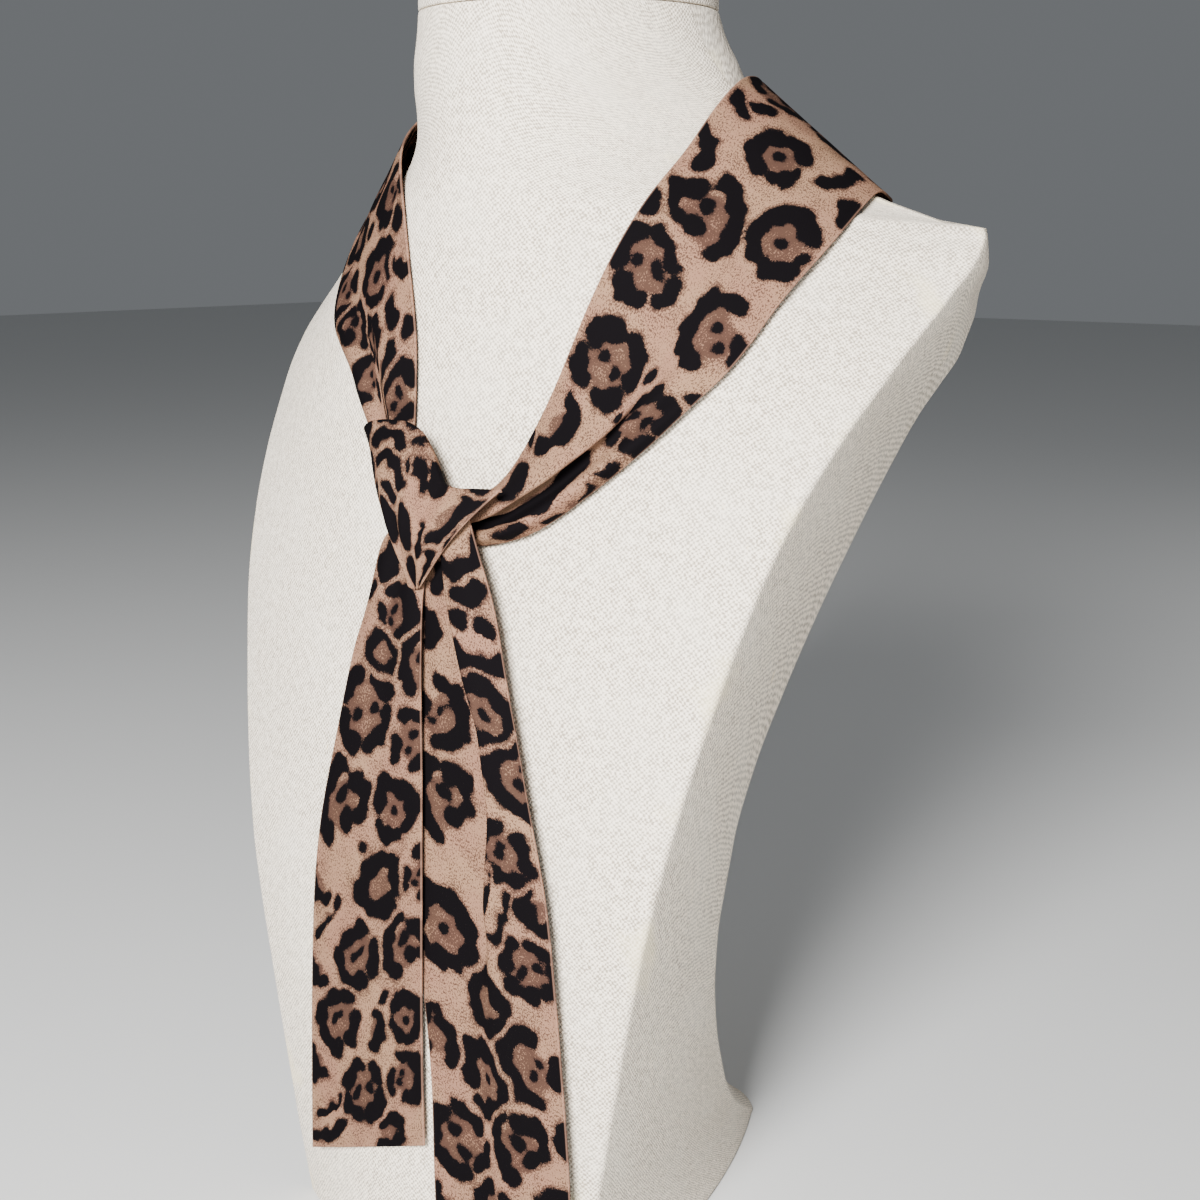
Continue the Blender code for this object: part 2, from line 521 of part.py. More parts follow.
def build():
    for thing in list(bpy.data.objects):
        bpy.data.objects.remove(thing, do_unlink=True)

    linen = make_material("linen_cover", LINEN_COLOUR, 0.9)
    cap_linen = make_material("linen_cap", CAP_COLOUR, 0.9)
    cloth = make_material("scarf_print", PRINT_COLOUR, 0.55)

    rings = bust_rings()
    count, around = rings.shape[:2]
    form_points = rings.reshape(-1, 3)
    form_faces = lofted_faces(count, around)
    add_object("bust_form", form_points, form_faces, linen)
    form = search_tree(form_points, form_faces)

    cap = cap_rings(rings[-1])
    add_object("neck_cap", cap.reshape(-1, 3), lofted_faces(len(cap), around), cap_linen)

    near = ribbon_sheet(NEAR_ROWS, NEAR_COUNT)
    back = ribbon_sheet(BACK_ROWS, BACK_COUNT)
    far = ribbon_sheet(FAR_ROWS, FAR_COUNT)
    loop = push_off(np.concatenate([near[::-1], back[1:-1], far]), form, BODY_GAP)
    cuts = (NEAR_COUNT - 1, NEAR_COUNT + BACK_COUNT - 2)
    near_piece, back_piece, far_piece = cut_sheets(loop, cuts)
    add_object("strap_near", *near_piece, cloth)
    add_object("neck_back", *back_piece, cloth)
    add_object("strap_far", *far_piece, cloth)

    right = push_off(ribbon_sheet(RIGHT_TAIL_ROWS, 36), form, BODY_GAP)
    right = push_forward(right, search_tree(*near_piece), LAYER_GAP)
    right_piece = thick_sheet(right)
    add_object("tail_right", *right_piece, cloth)

    left = push_off(ribbon_sheet(LEFT_TAIL_ROWS, 34), form, BODY_GAP)
    left = push_forward(left, search_tree(*near_piece), LAYER_GAP)
    left = push_forward(left, search_tree(*right_piece), LAYER_GAP)
    left_piece = thick_sheet(left)
    add_object("tail_left", *left_piece, cloth)

    wrap = push_off(wrap_sheet(12, 4), form, BODY_GAP)
    for piece in (near_piece, far_piece, right_piece, left_piece):
        wrap = push_forward(wrap, search_tree(*piece), LAYER_GAP)
    add_object("knot_wrap", *thick_sheet(wrap), cloth)


build()
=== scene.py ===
"""Looks of a ribbon scarf that is tied with a half knot round a linen-covered display bust.

Tables and sizes are in millimetres; points are turned into metres where a mesh is made.
+Z is up, the front of the bust faces -Y and the left shoulder of the bust is on +X.
"""
import math

import bpy
import numpy as np
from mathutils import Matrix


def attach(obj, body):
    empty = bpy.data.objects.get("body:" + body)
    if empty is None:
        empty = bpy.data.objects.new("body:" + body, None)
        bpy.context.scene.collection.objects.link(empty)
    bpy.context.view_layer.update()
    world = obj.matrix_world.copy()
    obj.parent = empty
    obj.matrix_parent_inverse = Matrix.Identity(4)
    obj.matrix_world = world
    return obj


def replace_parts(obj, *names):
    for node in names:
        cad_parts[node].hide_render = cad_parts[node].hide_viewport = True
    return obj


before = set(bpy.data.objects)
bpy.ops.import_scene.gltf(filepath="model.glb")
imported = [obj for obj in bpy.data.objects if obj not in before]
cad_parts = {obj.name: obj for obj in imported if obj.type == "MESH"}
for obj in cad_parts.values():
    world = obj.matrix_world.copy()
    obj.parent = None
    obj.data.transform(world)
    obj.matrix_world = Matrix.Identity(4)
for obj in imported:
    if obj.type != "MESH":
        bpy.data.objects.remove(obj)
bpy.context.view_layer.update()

MM = 0.001

# the tables' own y is moved by this, as in the solids
PLAN_SHIFT = -4.34
# all of the ribbon faces away from the point of this height on the bust's middle line
MIDDLE_HEIGHT = 340.0

# ---------------------------------------------------------------- sizes of the bust
NECK_TOP = 422.0
CAP_HEIGHT = 6.0
CAP_ROUND = 3.0
SEAM_GAP = 0.3
EDGE_ROUND = 2.6
REAR_ROUND = 2.0
HEM_ROUND = 1.6
RIM_ROUND = 0.7
# how finely the bust is divided: up it, round a section, and over its rounds
LEVEL_STEP = 2.6
FRONT_POINTS = 56
CORNER_POINTS = 7
SIDE_POINTS = 18
REAR_POINTS = 40
HEM_POINTS = 5
RIM_POINTS = 4
CAP_ROUND_POINTS = 10
CAP_TOP_RINGS = 9
# the front's points lie closer together toward its edge than even turns would
FRONT_CROWDING = 0.9
# the corners' rounds take no more than this share of the arm side
CORNER_SHARE = 0.3
# The cap's top: how much it rises toward its middle, how far in from its round its rings start, and
# how far from the middle they end, where one small face fills it
CAP_CROWN = 0.02
CAP_TOP_START = 4.0
CAP_MIDDLE = 2.0
# an edge that turns by more than this many degrees is shaded sharp
SHARP_ANGLE = 60.0

# One row is one section of the bust.
# level, y of the centre front, half width at the front edge, y of that edge,
# half width at the rear edge, y of that edge, outward swell of the arm side,
# y of the centre back, drop of the section at its edges, fullness power
BUST_ROWS = (
    (0.0, -88.0, 67.7, -69.2, 21.7, 89.5, 9.0, 102.0, 0.0, 2.0),
    (10.0, -88.5, 68.7, -70.4, 28.9, 71.8, 6.0, 88.0, 0.0, 2.0),
    (20.0, -89.0, 69.7, -71.6, 36.2, 56.0, 4.0, 76.5, 0.0, 2.0),
    (35.0, -89.5, 71.3, -73.1, 45.7, 37.0, 2.5, 63.0, 0.0, 2.0),
    (50.0, -89.5, 74.1, -73.4, 53.3, 23.0, 2.0, 53.0, 0.0, 2.0),
    (75.0, -89.5, 78.9, -73.7, 63.1, 5.0, 1.5, 41.0, 0.0, 2.0),
    (100.0, -89.5, 83.8, -73.7, 70.4, -6.2, 1.0, 35.0, 0.0, 2.0),
    (125.0, -89.0, 88.8, -73.1, 76.4, -11.5, 1.0, 33.0, 0.0, 2.0),
    (150.0, -88.0, 93.7, -70.6, 81.5, -12.0, 1.0, 35.0, 0.0, 2.0),
    (175.0, -86.5, 98.8, -66.3, 85.9, -7.0, 1.0, 42.0, 0.0, 2.0),
    (200.0, -84.0, 104.2, -60.7, 90.6, 2.8, 1.0, 51.0, 0.0, 2.0),
    (225.0, -80.5, 110.0, -53.8, 95.7, 14.3, 1.0, 59.0, 0.0, 2.0),
    (250.0, -76.0, 115.5, -44.1, 100.5, 28.8, 1.0, 66.0, 0.0, 2.0),
    (270.0, -72.0, 120.5, -33.3, 106.1, 38.3, 1.0, 70.0, 0.0, 2.0),
    (290.0, -67.5, 126.5, -19.2, 112.6, 48.0, 1.0, 73.0, 0.0, 2.0),
    (300.0, -65.0, 129.9, -11.1, 116.9, 54.0, 1.0, 74.0, 0.0, 2.0),
    (310.0, -62.5, 132.9, -1.7, 121.0, 59.5, 1.0, 74.5, 0.0, 2.05),
    (322.0, -60.5, 135.4, 9.4, 125.6, 58.5, 1.0, 74.5, 2.0, 2.15),
    (335.0, -58.5, 137.5, 20.9, 131.5, 51.5, 0.6, 74.0, 5.0, 2.4),
    (350.0, -56.5, 139.7, 33.6, 137.0, 47.0, 0.2, 73.0, 8.0, 2.7),
    (358.0, -55.3, 137.3, 41.8, 136.8, 45.0, 0.0, 71.0, 7.5, 2.8),
    (364.0, -54.5, 124.0, 38.5, 123.6, 41.5, 0.0, 69.0, 11.2, 2.8),
    (370.0, -53.6, 104.0, 31.0, 103.7, 34.0, 0.0, 66.5, 9.5, 2.6),
    (376.0, -52.9, 87.0, 25.0, 86.8, 27.0, 0.0, 65.5, 6.5, 2.3),
    (382.5, -52.2, 74.5, 20.0, 74.3, 22.0, 0.0, 64.0, 4.0, 1.9),
    (390.0, -51.7, 66.0, 15.0, 65.9, 16.5, 0.0, 62.5, 2.0, 1.5),
    (398.0, -51.3, 59.5, 10.0, 59.4, 11.0, 0.0, 60.5, 1.0, 1.15),
    (408.0, -50.8, 54.5, 5.0, 54.4, 5.5, 0.0, 56.0, 0.0, 1.0),
    (415.0, -50.4, 52.0, 2.5, 51.9, 3.0, 0.0, 53.0, 0.0, 1.0),
    (422.0, -50.0, 50.6, 0.5, 50.5, 1.0, 0.0, 51.0, 0.0, 1.0),
)

# ---------------------------------------------------------------- sizes of the scarf
RIBBON_WIDE = 60.0
CLOTH_THICK = 0.8
CLOTH_LIFT = 0.7
# how finely the cloth is divided: along it, across it, and close to its folded edges and its ends
ROW_STEP = 1.15
CREASE_STEP = 1.1
EDGE_PLACES = (0.0, 0.06, 0.2, 0.45, 0.8, 1.3, 1.9, 2.6)
END_PLACES = (0.1, 0.3, 0.7)
# The pressed tube is fuller in a rim by its folded edge and thinner in a dip beside it: how much (a
# share of its half thickness), how far from the edge and how wide
RIM_SWELL = 0.25
RIM_AT = 0.7
RIM_SPAN = 0.45
DIP_DEPTH = 0.30
DIP_AT = 1.9
DIP_SPAN = 0.5

# One row is one section across the ribbon, from its neck-side edge to its arm-side edge:
# neck-side x, y, z; arm-side x, y, z.  The loop runs from the knot up the near strap,
# round the back of the neck and down the far strap to the knot.
LOOP_EDGES = (
    (11.0, -76.0, 264.5, 15.0, -76.5, 251.5),
    (20.0, -74.5, 266.0, 28.0, -75.0, 252.5),
    (31.5, -71.0, 272.0, 45.0, -71.5, 257.5),
    (39.8, -65.0, 287.0, 60.0, -64.5, 268.5),
    (45.3, -59.0, 304.0, 75.0, -55.0, 283.0),
    (49.3, -53.0, 321.0, 86.5, -45.0, 297.0),
    (53.8, -44.0, 341.0, 95.3, -33.0, 311.0),
    (58.2, -31.0, 360.0, 100.2, -20.0, 326.5),
    (60.5, -16.0, 373.5, 105.0, -4.0, 341.5),
    (62.5, -4.0, 386.3, 106.0, 13.0, 353.2),
    (62.3, 8.5, 395.5, 104.0, 30.5, 361.5),
    (58.5, 23.0, 399.5, 101.0, 43.0, 360.2),
    (50.0, 40.0, 399.0, 88.0, 60.0, 355.2),
    (27.0, 57.0, 397.0, 48.0, 74.5, 341.5),
    (0.0, 63.5, 395.5, 0.0, 77.8, 336.5),
    (-27.0, 57.0, 397.0, -48.0, 74.5, 341.5),
    (-50.0, 40.0, 399.0, -88.0, 60.0, 355.2),
    (-58.5, 23.0, 399.5, -101.0, 43.0, 360.2),
    (-62.3, 8.5, 395.5, -104.0, 30.5, 361.5),
    (-58.2, -10.0, 388.6, -92.5, 6.0, 359.2),
    (-45.5, -33.0, 378.0, -81.0, -21.5, 345.8),
    (-30.0, -49.0, 361.0, -74.0, -39.0, 324.0),
    (-20.5, -56.5, 341.0, -60.5, -50.5, 312.0),
    (-14.0, -61.0, 323.0, -47.0, -58.0, 303.0),
    (-10.5, -64.0, 309.0, -39.0, -62.5, 295.0),
    (-7.0, -68.5, 292.0, -30.5, -66.5, 286.0),
    (-6.5, -70.0, 285.0, -26.0, -69.0, 280.5),
)

# A fold table gives the cloth's lie between its two edges.  The line before it holds places in the
# cloth (shares of its width).  Each row is a section: its row in the edge table, then for each of those
# places where it lies between the edges (share) and how far it stands off them (mm).
LOOP_CLOTH = (0.0, 0.20, 0.42, 0.55, 0.66, 0.76, 0.87, 0.95, 1.0)
LOOP_FOLDS = (
    (0.0, 0.00, 0.0, 0.15, 1.0, 0.36, 2.0, 0.45, 1.2, 0.42, 0.0, 0.60, 0.0, 0.82, 2.0, 0.92, 1.2, 1.0, 0.0),
    (1.0, 0.00, 0.0, 0.15, 1.8, 0.36, 3.6, 0.48, 3.0, 0.42, 0.4, 0.60, 0.0, 0.82, 3.0, 0.92, 2.2, 1.0, 0.0),
    (2.0, 0.00, 0.0, 0.17, 3.6, 0.38, 6.6, 0.50, 6.6, 0.44, 1.8, 0.60, 0.2, 0.82, 5.2, 0.94, 3.8, 1.0, 0.0),
    (3.0, 0.00, 0.0, 0.23, 3.8, 0.50, 7.2, 0.64, 7.4, 0.58, 2.6, 0.70, 0.2, 0.85, 4.8, 0.95, 3.8, 1.0, 0.2),
    (4.0, 0.00, 0.0, 0.25, 2.2, 0.53, 4.4, 0.70, 5.4, 0.68, 2.2, 0.77, 0.3, 0.88, 2.8, 0.96, 2.6, 1.0, 0.4),
    (5.0, 0.00, 0.0, 0.22, 0.8, 0.46, 1.6, 0.62, 2.6, 0.72, 1.9, 0.79, 0.5, 0.89, 1.2, 0.96, 1.4, 1.0, 0.5),
    (6.0, 0.00, 0.0, 0.20, 0.4, 0.42, 0.6, 0.55, 0.7, 0.66, 0.8, 0.77, 0.5, 0.88, 0.3, 0.95, 0.3, 1.0, 0.3),
    (7.5, 0.00, 0.0, 0.20, 0.1, 0.42, 0.3, 0.55, 0.3, 0.66, 0.2, 0.76, 0.1, 0.87, 0.0, 0.95, 0.1, 1.0, 0.2),
    (10.0, 0.00, 0.0, 0.20, 0.0, 0.42, 0.0, 0.55, 0.0, 0.66, 0.0, 0.76, 0.0, 0.87, 0.0, 0.95, 0.0, 1.0, 0.0),
    (14.0, 0.00, 0.0, 0.20, 0.2, 0.42, 0.5, 0.55, 0.6, 0.66, 0.5, 0.76, 0.4, 0.87, 0.2, 0.95, 0.0, 1.0, 0.0),
    (18.0, 0.00, 0.0, 0.20, 0.0, 0.42, 0.0, 0.55, 0.0, 0.66, 0.0, 0.76, 0.0, 0.87, 0.0, 0.95, 0.0, 1.0, 0.0),
    (20.0, 0.00, 0.0, 0.20, 0.0, 0.42, 0.1, 0.55, 0.2, 0.66, 0.1, 0.76, 0.0, 0.87, 0.2, 0.95, 0.2, 1.0, 0.0),
    (21.0, 0.00, 0.0, 0.20, 0.2, 0.42, 0.5, 0.55, 0.3, 0.66, 0.1, 0.76, 0.3, 0.87, 1.0, 0.95, 0.6, 1.0, 0.0),
    (22.0, 0.00, 0.0, 0.20, 0.4, 0.42, 0.9, 0.55, 0.6, 0.66, 0.2, 0.76, 0.8, 0.87, 2.0, 0.95, 1.2, 1.0, 0.0),
    (23.0, 0.00, 0.0, 0.20, 1.1, 0.42, 1.7, 0.54, 1.2, 0.63, 0.4, 0.74, 1.2, 0.86, 2.8, 0.95, 1.6, 1.0, 0.0),
    (24.0, 0.00, 0.0, 0.20, 1.6, 0.41, 2.4, 0.52, 1.8, 0.60, 0.7, 0.72, 1.4, 0.85, 3.0, 0.95, 1.6, 1.0, 0.0),
    (25.0, 0.00, 0.0, 0.20, 1.2, 0.40, 1.8, 0.50, 1.2, 0.59, 0.7, 0.71, 1.0, 0.84, 2.0, 0.95, 1.0, 1.0, 0.0),
    (26.0, 0.00, 0.0, 0.20, 0.6, 0.40, 1.0, 0.50, 0.6, 0.59, 0.4, 0.71, 0.5, 0.84, 1.0, 0.95, 0.5, 1.0, 0.0),
)
# where across the ribbon its fold hides cloth (shares of its width)
LOOP_TUCK = (0.50, 0.76)

# the tails run from the edge on the right hand of the bust to the edge on its left hand
LEFT_TAIL_EDGES = (
    (-7.0, -77.2, 255.5, 6.5, -80.6, 248.0),
    (-11.0, -80.0, 251.0, 9.0, -81.5, 243.0),
    (-14.0, -81.5, 240.0, 10.5, -84.5, 234.0),
    (-17.5, -83.0, 226.0, 11.5, -86.5, 220.0),
    (-22.0, -84.5, 212.0, 12.5, -88.0, 207.0),
    (-29.2, -86.0, 184.0, 14.0, -89.7, 182.0),
    (-35.3, -87.0, 160.0, 14.8, -91.0, 162.0),
    (-39.8, -87.2, 136.0, 15.0, -91.6, 143.0),
    (-42.5, -87.2, 108.0, 14.8, -92.0, 120.0),
    (-44.0, -87.2, 80.0, 14.3, -92.0, 95.0),
    (-45.2, -87.0, 53.0, 14.0, -91.8, 71.0),
    (-46.4, -86.5, 30.0, 14.0, -91.5, 51.0),
)
LEFT_TAIL_CLOTH = (0.0, 0.25, 0.50, 0.75, 1.0)
LEFT_TAIL_FOLDS = (
    (0.0, 0.0, 0.0, 0.25, 1.4, 0.50, 0.3, 0.75, 1.4, 1.0, 0.0),
    (1.5, 0.0, 0.0, 0.24, 1.5, 0.50, 0.2, 0.76, 1.5, 1.0, 0.0),
    (3.0, 0.0, 0.0, 0.25, 1.2, 0.50, 0.3, 0.76, 1.2, 1.0, 0.0),
    (5.0, 0.0, 0.0, 0.26, 0.8, 0.52, 0.3, 0.76, 0.6, 1.0, 0.0),
    (8.0, 0.0, 0.0, 0.25, 0.6, 0.50, 0.6, 0.75, 0.4, 1.0, 0.0),
    (11.0, 0.0, 0.0, 0.25, 0.5, 0.50, 0.5, 0.75, 0.3, 1.0, 0.0),
)
# beyond the width, because this tail has no fold that hides cloth
LEFT_TAIL_TUCK = (2.0, 3.0)

RIGHT_TAIL_EDGES = (
    (8.0, -79.0, 249.0, 29.0, -82.5, 263.0),
    (7.0, -80.5, 241.0, 35.5, -83.5, 248.0),
    (6.0, -81.5, 231.0, 41.5, -84.5, 234.0),
    (5.5, -83.0, 216.0, 47.5, -86.0, 213.0),
    (5.0, -85.0, 198.0, 52.5, -86.7, 194.0),
    (5.0, -86.8, 180.0, 57.0, -87.0, 175.0),
    (6.5, -88.4, 155.0, 63.0, -87.2, 150.0),
    (9.0, -89.3, 132.0, 66.0, -86.8, 128.0),
    (13.0, -89.9, 105.0, 67.5, -85.5, 102.0),
    (16.0, -90.0, 75.0, 69.0, -84.0, 72.0),
    (16.5, -90.0, 48.0, 69.5, -82.5, 44.0),
    (17.5, -90.0, 14.0, 69.5, -81.5, 12.0),
)
RIGHT_TAIL_CLOTH = (0.0, 0.20, 0.38, 0.46, 0.54, 0.66, 0.82, 1.0)
RIGHT_TAIL_FOLDS = (
    (0.0, 0.0, 0.0, 0.26, 0.4, 0.62, 0.6, 0.56, 1.7, 0.48, 2.8, 0.62, 3.0, 0.80, 1.6, 1.0, 0.0),
    (1.0, 0.0, 0.0, 0.26, 0.3, 0.66, 0.5, 0.60, 1.9, 0.50, 3.5, 0.64, 3.8, 0.82, 1.9, 1.0, 0.0),
    (2.0, 0.0, 0.0, 0.28, 0.1, 0.74, 0.8, 0.68, 2.6, 0.56, 4.8, 0.68, 4.8, 0.84, 2.5, 1.0, 0.0),
    (3.0, 0.0, 0.0, 0.30, 0.1, 0.82, 1.0, 0.77, 3.4, 0.67, 5.8, 0.76, 5.4, 0.87, 3.0, 1.0, 0.0),
    (4.0, 0.0, 0.0, 0.31, 0.1, 0.89, 1.0, 0.85, 3.4, 0.77, 6.0, 0.84, 5.4, 0.91, 3.1, 1.0, 0.0),
    (5.0, 0.0, 0.0, 0.31, 0.1, 0.87, 1.0, 0.83, 3.2, 0.76, 5.6, 0.83, 5.0, 0.91, 2.9, 1.0, 0.0),
    (6.0, 0.0, 0.0, 0.29, 0.1, 0.76, 0.9, 0.72, 2.8, 0.65, 4.8, 0.75, 4.2, 0.87, 2.3, 1.0, 0.0),
    (6.6, 0.0, 0.0, 0.26, 0.1, 0.67, 0.8, 0.65, 2.4, 0.60, 4.0, 0.70, 3.5, 0.85, 1.9, 1.0, 0.0),
    (7.3, 0.0, 0.0, 0.22, 0.1, 0.52, 0.6, 0.56, 1.9, 0.59, 3.0, 0.68, 2.4, 0.83, 1.2, 1.0, 0.0),
    (8.2, 0.0, 0.0, 0.20, 0.1, 0.40, 0.4, 0.49, 1.1, 0.56, 1.5, 0.67, 1.1, 0.83, 0.6, 1.0, 0.0),
    (9.5, 0.0, 0.0, 0.20, 0.2, 0.38, 0.3, 0.46, 0.4, 0.54, 0.5, 0.66, 0.5, 0.82, 0.4, 1.0, 0.0),
    (11.0, 0.0, 0.0, 0.20, 0.2, 0.38, 0.3, 0.46, 0.3, 0.54, 0.3, 0.66, 0.3, 0.82, 0.3, 1.0, 0.0),
)
RIGHT_TAIL_TUCK = (0.38, 0.54)

# One row is one gather of the wrap.  It starts at the tip and runs up to the roll, then behind it.
# x and z where it turns over the roll, y of the roll, y of the fullest place, sideways bow,
# how deep and how far down the cloth goes on behind the roll
WRAP_RAYS = (
    (-24.5, 285.0, -74.0, -75.5, 2.5, 1.0, 2.0),
    (-23.5, 286.5, -75.5, -81.5, 2.5, 2.0, 4.0),
    (-18.0, 289.0, -77.5, -87.5, 1.5, 3.0, 6.0),
    (-10.0, 290.0, -78.5, -90.5, 0.5, 3.5, 7.0),
    (-2.5, 290.0, -79.0, -92.0, 0.0, 3.5, 7.0),
    (4.5, 288.0, -79.5, -91.5, 0.0, 3.5, 7.0),
    (11.0, 281.5, -80.5, -92.5, 0.0, 3.0, 6.0),
    (18.5, 271.5, -82.0, -91.0, 0.0, 2.0, 3.0),
    (25.0, 271.0, -83.0, -90.5, 0.0, 1.5, 1.5),
    (33.0, 271.5, -83.0, -89.0, 0.0, 1.0, 1.0),
    (42.5, 272.0, -82.5, -87.0, -1.0, 0.6, 0.6),
)
# the tip's middle, its width, and twice the rise of its two ends
WRAP_TIP = (8.0, -86.0, 237.5)
WRAP_TIP_SPREAD = 5.0
WRAP_TIP_RISE = 1.5
# rows of points from the tip to the roll, and behind it
WRAP_ALONG = 64
WRAP_BEHIND = 12
# Powers of the share of the way from the tip.  One below 1 brings the fullest place nearer the tip, and
# one above 1 nearer the roll.
BOW_POWER = 0.8
SWELL_POWER = 1.25
GATHER_POWER = 0.6
# place across the wrap, half width there, height, and how far from the tip it still shows (shares)
WRAP_GATHERS = (
    (0.14, 0.030, 0.7, 0.55),
    (0.24, 0.035, -0.8, 0.45),
    (0.35, 0.040, 1.0, 0.80),
    (0.46, 0.035, -0.9, 0.60),
    (0.57, 0.040, 1.1, 0.70),
    (0.68, 0.035, -1.0, 0.85),
    (0.80, 0.035, 0.8, 0.75),
    (0.90, 0.025, -0.6, 0.90),
)

# ---------------------------------------------------------------- the print, millimetres
# how far from its middle a motif of size 1 is looked for, and what every motif's size is multiplied by
MOTIF_REACH = 17.0
MOTIF_SIZE = 1.06
# the ground left between two motifs
MOTIF_GAP = 2.2
# strokes: how softly they join, how far ink spreads past them, their bow (a share) and their lumps
INK_JOIN = 0.7
INK_SPREAD = 0.5
STROKE_BOW = 0.14
STROKE_LUMPS = 0.55
# the heights of the slow and the quick waves that bend the print's places
SLOW_BEND = 0.8
QUICK_BEND = 0.5
# distances are held between the deepest inside a mark and the farthest from it that are of use
DEEPEST = -4.0
FARTHEST = 6.0
# A motif's heart is an oval of speckled brown, given by its half width and half height.  Its strokes
# are x and y of the start, x and y of the end, and the half thickness at each.
MOTIFS = {
    "ring": ((7.5, 8), (
        (-6.5, 7.5, 2, 9.8, 2.6, 2.9), (7.6, 6.6, 9, -3, 2.9, 2.5), (5.6, -8.6, -1.5, -10, 2.5, 2.2),
        (-8, -6, -9.6, 1.5, 2.3, 2.6), (-2.2, 2.2, -2.2, 2.4, 1.4, 1.4), (2.6, -2.6, 2.4, -3, 1.5, 1.3),
    )),
    "hook": ((6.5, 7.5), (
        (6.5, 10, 8.2, -3, 3.1, 2.9), (8.2, -3, 3, -9.8, 2.9, 2.5), (-8, 7.6, -1.8, 9.2, 3, 2.8),
        (-9.2, 3.6, -8.4, 0.2, 1.9, 1.5), (-4.2, -2.8, -4, -2.6, 2.2, 2.2),
        (0.6, 2.8, 0.8, 3.2, 1.9, 1.9),
    )),
    "arch": ((6.5, 7), (
        (-8.4, -4.6, -9, 2.6, 2.5, 2.9), (-9, 2.6, -2.6, 8.6, 2.9, 2.8), (-2.6, 8.6, 6.6, 8.2, 2.8, 3.1),
        (6.6, 8.2, 9, 0, 3.1, 2.7), (-3.6, -9.2, 3.8, -9.6, 2.4, 2.9), (7, -6.4, 7.2, -6, 1.7, 1.7),
        (0, -0.4, 0.2, 0, 1.1, 1.1),
    )),
    "crescent": ((6, 7), (
        (5.6, 8.8, -3.6, 8.8, 2.3, 2.8), (-3.6, 8.8, -9, 2.6, 2.8, 3), (-9, 2.6, -7.8, -5.6, 3, 2.6),
        (-7.8, -5.6, -1.6, -9.4, 2.6, 2.2), (7.2, -6.2, 8, -0.8, 2.4, 2), (0.8, 1.6, 1, 1.8, 1.5, 1.5),
        (1.6, -3.8, 1.8, -3.6, 1.2, 1.2),
    )),
    "split": ((6.5, 7.5), (
        (0, 9.4, 7.6, 5.2, 2.9, 2.8), (8.6, -2.4, 3.2, -9, 2.7, 2.6), (-4.4, -8.8, -9, -2, 2.5, 2.7),
        (-8.6, 4.6, -5, 8.4, 2.3, 2.5), (-1.4, 0.6, -0.8, -2.4, 1.6, 1.3),
    )),
    "small": ((3.2, 3.6), (
        (-4, 3.4, 2.8, 5, 1.9, 2.2), (5.2, 1.6, 4.4, -3.6, 2.1, 1.9), (1.2, -5.8, -4.4, -4.2, 1.9, 2.1),
        (-6, -1, -5.8, 0.8, 1.6, 1.6),
    )),
    "beans": ((4, 5), (
        (-4.8, 5.2, -4, -4.8, 2.5, 3), (5.2, 5.6, 4.2, -4.2, 2.4, 2.7), (-1, -8.4, 1.4, -8.6, 1.5, 1.7),
    )),
    "comma": ((2.6, 3), ((3, 6, 4, -0.6, 2.9, 2.6), (4, -0.6, -2.2, -6, 2.6, 1.7))),
    "bar": ((1, 1), ((0, 7, 0.8, -7, 2.7, 3.1),)),
    "oval": ((1, 1), ((0, 2.6, 0.4, -2.2, 3.1, 2.8),)),
    "spot": ((1, 1), ((0, 0.5, 0.4, -0.4, 1.9, 2.1),)),
    "streak": ((1, 1), ((0, 8, 0.4, -8, 1.1, 1.6),)),
}
# Each chart lists a stretch's motifs: kind, place across and along the cloth in millimetres from the
# stretch's first edge and first row, turn in degrees and size.  The repeat fills what lies behind.
REPEAT_LONG = 99.0
REPEAT_FIRST = 198.0
REPEAT_COUNT = 3
PRINT_REPEAT = (
    ("ring", 11, 10, 20, 1), ("hook", 36, 14, 150, 0.95), ("comma", 57, 8, 0, 1), ("spot", 24, 25, 0, 1),
    ("crescent", 53, 34, 30, 1), ("arch", 16, 40, 200, 0.95), ("beans", 36, 43, 30, 0.9),
    ("split", 47, 62, 100, 1), ("small", 3, 58, 40, 1.2), ("hook", 22, 68, 60, 1),
    ("oval", 57, 82, 10, 1), ("small", 40, 86, 20, 1.4), ("crescent", 8, 90, 180, 0.9),
    ("spot", 25, 92, 0, 1),
)


def repeated(chart, first, count):
    """A chart set out this many times along the cloth from its first place."""
    return tuple(
        (kind, u, v + first + k * REPEAT_LONG, turn, size)
        for k in range(count)
        for kind, u, v, turn, size in chart
    )


